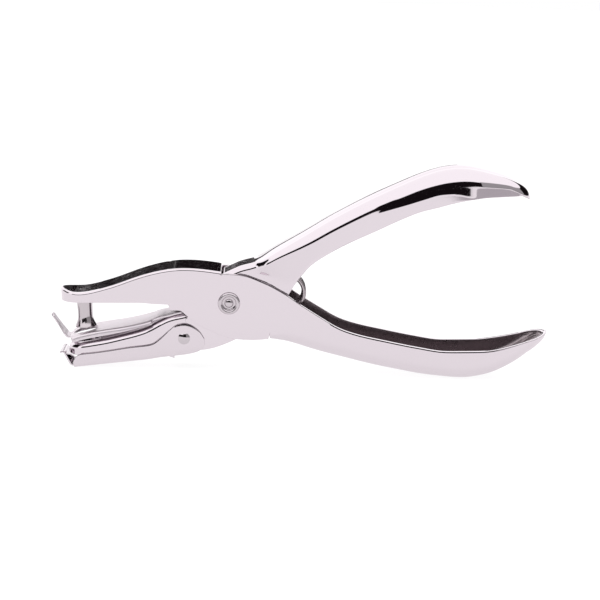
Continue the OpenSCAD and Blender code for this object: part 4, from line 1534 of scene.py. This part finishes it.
@dataclass
class TrayRivets:
    """Two small rivets, one each side, that the chip tray swings on."""

    radius: float = 0.9
    head_r: float = 1.7
    head_h: float = 0.45
    tail_r: float = 1.35

    def build(self, shop: Workshop) -> bpy.types.Object:
        """Makes both rivets as one piece, since they are alike and fixed alike."""
        seat, top = HINGE_HALF - SHEET - RUNNING_GAP, HINGE_HALF + TRAY_GAP + TRAY_SHEET
        levels = (seat - self.head_h, seat, top)
        profile = rivet_profile(self.radius - FIXED_GAP, self.tail_r, levels, (self.head_r, self.head_h), 12)
        pts, quads = revolve(profile, 64)
        points, faces = [], []
        for side in Side:
            faces += [[n + len(points) * len(pts) for n in q] for q in quads]
            points.append(set_on(pts, (TRAY_HINGE[0], 0, TRAY_HINGE[1]), (0, side.value, 0)))
        obj = shop.shape("tray_rivet_pair", np.concatenate(points), faces)
        return shop.dress(obj, RIVET_STEEL, "inner", "tray_rivets")


@dataclass
class ReturnSpring:
    """One round wire: a coil between two straight legs that push the handles apart."""

    wire_d: float = 1.3
    coil_r: float = 4.6
    turns: int = 3
    pitch: float = 1.8
    coil_x: float = 16.4
    coil_z: float = 2.0
    gap: float = 0.3
    crown_share: float = 0.3
    sides: int = 20
    leg_cells: int = 30
    coil_step_deg: float = 7.0
    dome_deg: tuple[float, ...] = (0, 25, 50, 72)
    low_leg_x: float = 0.352 * LOW
    up_leg_x: float = 0.35 * UP

    def leg_end(self, outline: Outline, x: float, side: int) -> np.ndarray:
        """End of a leg, just clear of the web that it pushes on.

        Args:
            outline: outside of the web.
            x: distance along the tool.
            side: 1 above the web, -1 below it.

        Returns:
            The [x, z] place of the wire's axis.
        """
        either_way = 0.5
        slope = (outline(x + either_way) - outline(x - either_way)).item() / (2 * either_way)
        clear = (self.wire_d / 2 + self.gap) / math.cos(math.atan(slope))
        return np.array([x, float(outline(x)) + side * (self.crown_share * CROWN + SHEET + clear)])

    def tangent(self, end: np.ndarray, side: int) -> float:
        """Angle on the coil where a straight leg from end leaves it.

        Args:
            end: the leg's end.
            side: which of the two tangents, 1 or -1.

        Returns:
            The angle in radians: that of the end, turned by the arc cosine of the
            coil's radius over the end's distance.
        """
        d = end - [self.coil_x, self.coil_z]
        return math.atan2(d[1], d[0]) + side * math.acos(self.coil_r / np.hypot(*d))

    def wire(self, low_end: np.ndarray, up_end: np.ndarray) -> np.ndarray:
        """The wire's axis: the lower leg, a helix round Y, and the upper leg.

        The helix turns evenly from one tangent angle to the other, with the whole
        turns between them, and moves along Y by the pitch in each turn.

        Args:
            low_end: end of the lower leg.
            up_end: end of the upper leg.

        Returns:
            Points along the axis.
        """
        a0 = self.tangent(low_end, -1) + 2 * math.pi
        a1 = self.tangent(up_end, 1)
        sweep = a0 - a1 + 2 * math.pi * self.turns
        rise = self.pitch * sweep / (2 * math.pi)
        u = np.linspace(0, 1, int(sweep / math.radians(self.coil_step_deg)))
        a = a0 - sweep * u
        coil = np.stack([self.coil_x + self.coil_r * np.cos(a), (0.5 - u) * rise,
                         self.coil_z + self.coil_r * np.sin(a)], -1)
        t = np.linspace(0, 1, self.leg_cells + 1)[:, None]
        first = np.array([low_end[0], rise / 2, low_end[1]])
        last = np.array([up_end[0], -rise / 2, up_end[1]])
        low_leg = first + (coil[0] - first) * t[:-1]
        up_leg = coil[-1] + (last - coil[-1]) * t[1:]
        return np.concatenate([low_leg, coil, up_leg])

    def tube(self, path: np.ndarray) -> tuple[np.ndarray, list[list[int]]]:
        """Points and faces of a round tube along the path, with domed ends.

        Ring i is a circle round path point i, square to the path. The rings of the
        first and the last point are each drawn several times, with radii that fall
        along a quarter circle.

        Args:
            path: points along the wire's axis.

        Returns:
            Points and faces.
        """
        t = np.gradient(path, axis=0)
        t /= np.linalg.norm(t, axis=1)[:, None]
        out = np.cross([0, 1, 0], t)
        out /= np.linalg.norm(out, axis=1)[:, None]
        up = np.cross(t, out)
        a = np.arange(self.sides) * 2 * math.pi / self.sides
        r, blunt = self.wire_d / 2, 0.02
        dome = np.radians(self.dome_deg)
        widths, inset = np.sin(dome + blunt), r * (1 - np.cos(dome)) / 2
        scale = r * np.concatenate([widths, np.ones(len(path) - 2), widths[::-1]])
        head = path[0] + np.outer(inset, t[0])
        tail = path[-1] - np.outer(inset[::-1], t[-1])
        centre = np.concatenate([head, path[1:-1], tail])
        last, n = len(path) - 1, len(centre)
        pick = np.clip(np.arange(n) - len(dome) + 1, 0, last)
        ring = out[pick][:, None] * np.cos(a)[:, None] + up[pick][:, None] * np.sin(a)[:, None]
        pts = (centre[:, None] + scale[:, None, None] * ring).reshape(-1, 3)
        caps = [list(range(self.sides)), list(range((n - 1) * self.sides, n * self.sides))]
        return pts, grid_faces(n, self.sides, closed=False).tolist() + caps

    def build(self, shop: Workshop, outer: OuterLever, inner: InnerLever) -> bpy.types.Object:
        """Makes the spring between the two levers.

        Args:
            shop: the workshop.
            outer: the lever that its lower leg pushes on.
            inner: the lever that its upper leg pushes on.

        Returns:
            The spring's object.
        """
        low_end = self.leg_end(outer.belly, self.low_leg_x, 1)
        up_end = self.leg_end(inner.handle_top, self.up_leg_x, -1)
        obj = shop.shape("torsion_spring", *self.tube(self.wire(low_end, up_end)), sharp=60)
        obj.data.materials.append(DRAWN_WIRE.material())
        ends = shop.stand.points(np.array([[low_end[0], 0, low_end[1]], [up_end[0], 0, up_end[1]]]))
        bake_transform(obj)
        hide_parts("return_spring")
        log.info("%s between the levers: %d faces", obj.name, len(obj.data.polygons))
        return obj


@dataclass(frozen=True)
class Card:
    """A dark card that stands round the tool, as in product photography.

    Attributes:
        azimuth: its sides, in degrees clockwise from straight behind the tool.
        elevation: its lower and upper edge at azimuth 0, in degrees.
        lean: rise of both edges per degree of azimuth.
        soft: width of its soft edges, in degrees.
        depth: how dark it is, from 0 to 1.
    """

    azimuth: tuple[float, float]
    elevation: tuple[float, float]
    lean: float = 0.0
    soft: float = 0.8
    depth: float = 1.0


@dataclass(frozen=True)
class Board:
    """A flat board that lies level.

    Attributes:
        name: its name.
        material: its material's name, after the real board.
        tint: its sRGB colour.
        low: its corner of least x and y, in millimetres.
        high: its corner of greatest x and y.
        height: its height.
        glow: strength of the white light it gives.
        reflected_only: whether only reflections show it.
    """

    name: str
    material: str
    tint: str
    low: tuple[float, float]
    high: tuple[float, float]
    height: float = 0.0
    glow: float = 0.0
    reflected_only: bool = False

    def build(self) -> bpy.types.Object:
        """Makes the board.

        Returns:
            Its object.
        """
        (x0, y0), (x1, y1) = self.low, self.high
        corners = [(x0, y0), (x1, y0), (x1, y1), (x0, y1)]
        mesh = bpy.data.meshes.new(self.name)
        mesh.from_pydata([(x * MM, y * MM, self.height * MM) for x, y in corners], [], [(0, 1, 2, 3)])
        mat = bpy.data.materials.new(self.material)
        mat.use_nodes = True
        shader = mat.node_tree.nodes["Principled BSDF"]
        shader.inputs["Base Color"].default_value = linear(self.tint)
        shader.inputs["Roughness"].default_value = 0.9
        shader.inputs["Emission Color"].default_value = linear("#ffffff")
        shader.inputs["Emission Strength"].default_value = self.glow
        mesh.materials.append(mat)
        obj = put(self.name, mesh)
        obj.visible_camera = obj.visible_diffuse = obj.visible_shadow = not self.reflected_only
        return obj


@dataclass
class Studio:
    """White floor, soft white light all round and a few dark cards.

    The cards give polished faces something dark to mirror. Two small ones stand
    straight behind the tool, four run on round its right side and its front, and one
    stands on its left. A grey board lies on the floor before the handles' tips, for
    their cheeks to mirror.
    """

    azimuth_deg: float = -1.5
    elevation_deg: float = 12.5
    distance_mm: float = 450.0
    focal_px: float = 1624.5
    image_px: int = 600
    sensor_mm: float = 36.0
    target_right_mm: float = 19.7
    target_up_mm: float = 1.1
    pivot_drop_mm: float = 7.8
    zenith: float = 1.4
    horizon_end: float = 0.12
    seam_deg: float = -125.0
    card_shade: str = "#171215"
    lamp_mm: float = 900.0
    lamp_watts: float = 2.0
    lamp_place_mm: tuple[float, float, float] = (-200.0, -500.0, 900.0)
    floor: Board = Board("floor", "white_board", "#787778", (-3000, -3000), (3000, 3000), glow=0.88)
    flag: Board = Board("grey_flag", "grey_card", "#b2afb2", (85, -420), (420, -75), height=0.5,
                        reflected_only=True)
    cards: tuple[Card, ...] = (
        Card((-5.6, 6.0), (8.6, 15.4), lean=0.1),
        Card((-14.0, -5.2), (13.7, 18.4), lean=0.85),
        Card((23.0, 90.0), (1.0, 31.0), soft=2.0),
        Card((88.0, 165.0), (-1.0, 34.0), soft=6.0, depth=0.7),
        Card((162.0, 190.0), (1.5, 31.0), soft=1.5),
        Card((188.0, 233.0), (2.0, 24.0), soft=1.5),
        Card((-106.0, -60.0), (4.0, 44.0), soft=4.0),
    )

    def camera(self, stand: Stand) -> bpy.types.Object:
        """Makes the camera at the photograph's viewing angle.

        Args:
            stand: how the tool stands.

        Returns:
            The camera.
        """
        a, e = math.radians(self.azimuth_deg), math.radians(self.elevation_deg)
        right = Vector((math.cos(a), math.sin(a), 0))
        back = Vector((math.sin(a) * math.cos(e), -math.cos(a) * math.cos(e), math.sin(e)))
        up = back.cross(right)
        target = Vector((0, -self.pivot_drop_mm, 0)) + self.target_right_mm * right + self.target_up_mm * up
        place = (target + self.distance_mm * back) * MM
        turn = Matrix((right, up, back)).transposed().to_4x4()
        data = bpy.data.cameras.new("photo_camera")
        data.sensor_width = self.sensor_mm
        data.lens = self.focal_px / self.image_px * self.sensor_mm
        data.clip_start = 0.01
        cam = put("photo_camera", data)
        cam.matrix_world = stand.matrix() @ Matrix.Translation(place) @ turn
        bpy.context.scene.camera = cam
        return cam

    def world(self) -> None:
        """Lights the scene from all round, with the dark cards in that light.

        A ray's azimuth, counted from the seam on, and its elevation say how deep it
        lies within each card, and the deepest one counts. The light grows stronger
        from the horizon up to the end of the horizon's band. The camera sees no card.
        """
        world = bpy.data.worlds.new("studio")
        bpy.context.scene.world = world
        world.use_nodes = True
        tree = world.node_tree
        light = tree.nodes["Background"]
        ray = add(tree, "ShaderNodeTexCoord").outputs["Generated"]
        split = add(tree, "ShaderNodeSeparateXYZ", Vector=ray)

        def math_node(operation: str, *values: Any) -> bpy.types.NodeSocket:
            """The result of an operation on sockets and numbers."""
            node = add(tree, "ShaderNodeMath", {"operation": operation})
            for socket, value in zip(node.inputs, values):
                if isinstance(value, bpy.types.NodeSocket):
                    tree.links.new(value, socket)
                else:
                    socket.default_value = value
            return node.outputs[0]

        def ramp(value: bpy.types.NodeSocket, low: float, high: float) -> bpy.types.NodeSocket:
            """A smooth rise from 0 at low to 1 at high."""
            return add(tree, "ShaderNodeMapRange", {"interpolation_type": "SMOOTHSTEP"}, Value=value,
                       From_Min=low, From_Max=high).outputs["Result"]

        def between(value: bpy.types.NodeSocket, low: float, high: float,
                    soft: float) -> bpy.types.NodeSocket:
            """1 from low to high and 0 beyond, with soft edges."""
            over = ramp(value, low - soft / 2, low + soft / 2)
            under = ramp(value, high + soft / 2, high - soft / 2)
            return math_node("MULTIPLY", over, under)

        x, y, z = [split.outputs[axis] for axis in "XYZ"]
        azimuth = math_node("DEGREES", math_node("ARCTAN2", x, y))
        azimuth = math_node("WRAP", azimuth, self.seam_deg + 360, self.seam_deg)
        elevation = math_node("DEGREES", math_node("ARCSINE", z))
        dark: Any = 0.0
        for card in self.cards:
            level = math_node("SUBTRACT", elevation, math_node("MULTIPLY", azimuth, card.lean))
            here = math_node("MULTIPLY", between(azimuth, *card.azimuth, card.soft),
                             between(level, *card.elevation, card.soft))
            dark = math_node("MAXIMUM", dark, math_node("MULTIPLY", here, card.depth))
        seen = add(tree, "ShaderNodeLightPath").outputs["Is Camera Ray"]
        dark = math_node("MULTIPLY", dark, math_node("SUBTRACT", 1.0, seen))
        sky = add(tree, "ShaderNodeMapRange", Value=ramp(z, 0.0, self.horizon_end), To_Min=1.0,
                  To_Max=self.zenith).outputs["Result"]
        mix = add(tree, "ShaderNodeMix", {"data_type": "RGBA"}, Factor=dark)
        colours = [s for s in mix.inputs if s.type == "RGBA"]
        tree.links.new(sky, colours[0])
        colours[1].default_value = linear(self.card_shade)
        tree.links.new([s for s in mix.outputs if s.type == "RGBA"][0], light.inputs["Color"])
        light.inputs["Strength"].default_value = 1.0

    def softbox(self) -> None:
        """Hangs one large soft light over the tool, out of sight of its polished faces."""
        data = bpy.data.lights.new("softbox", "AREA")
        data.shape = "DISK"
        data.size = self.lamp_mm * MM
        data.energy = self.lamp_watts
        obj = put("softbox", data)
        obj.location = Vector(self.lamp_place_mm) * MM
        obj.rotation_euler = (-obj.location).to_track_quat("-Z", "Y").to_euler()
        obj.visible_glossy = False

    def build(self, stand: Stand) -> None:
        """Sets up the camera, the world, both boards and the light."""
        self.camera(stand)
        self.world()
        self.floor.build()
        self.flag.build()
        self.softbox()
        bpy.context.scene.view_settings.view_transform = "Standard"


def main() -> None:
    """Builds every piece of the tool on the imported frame, then the studio."""
    logging.basicConfig(level=logging.INFO, format="%(message)s")
    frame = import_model()
    stand = Stand.from_joints(frame["joints"])
    shop = Workshop(stand)
    outer, inner = OuterLever(), InnerLever()
    pivot, punch, die = MainRivet(), PunchPin(), DieBush()
    plate, pin, pins = StripperPlate(), StripperRivet(), TrayRivets()
    outer.build(shop)
    inner.build(shop, die, pin, pivot, pins)
    pivot.build(shop)
    punch.build(shop, outer)
    die.build(shop, inner)
    plate.build(shop, inner, die, pin)
    pin.build(shop, plate, inner)
    ChipTray().build(shop, pins)
    pins.build(shop)
    ReturnSpring().build(shop, outer, inner)
    Studio().build(stand)
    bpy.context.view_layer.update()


if __name__ == "__main__":
    main()
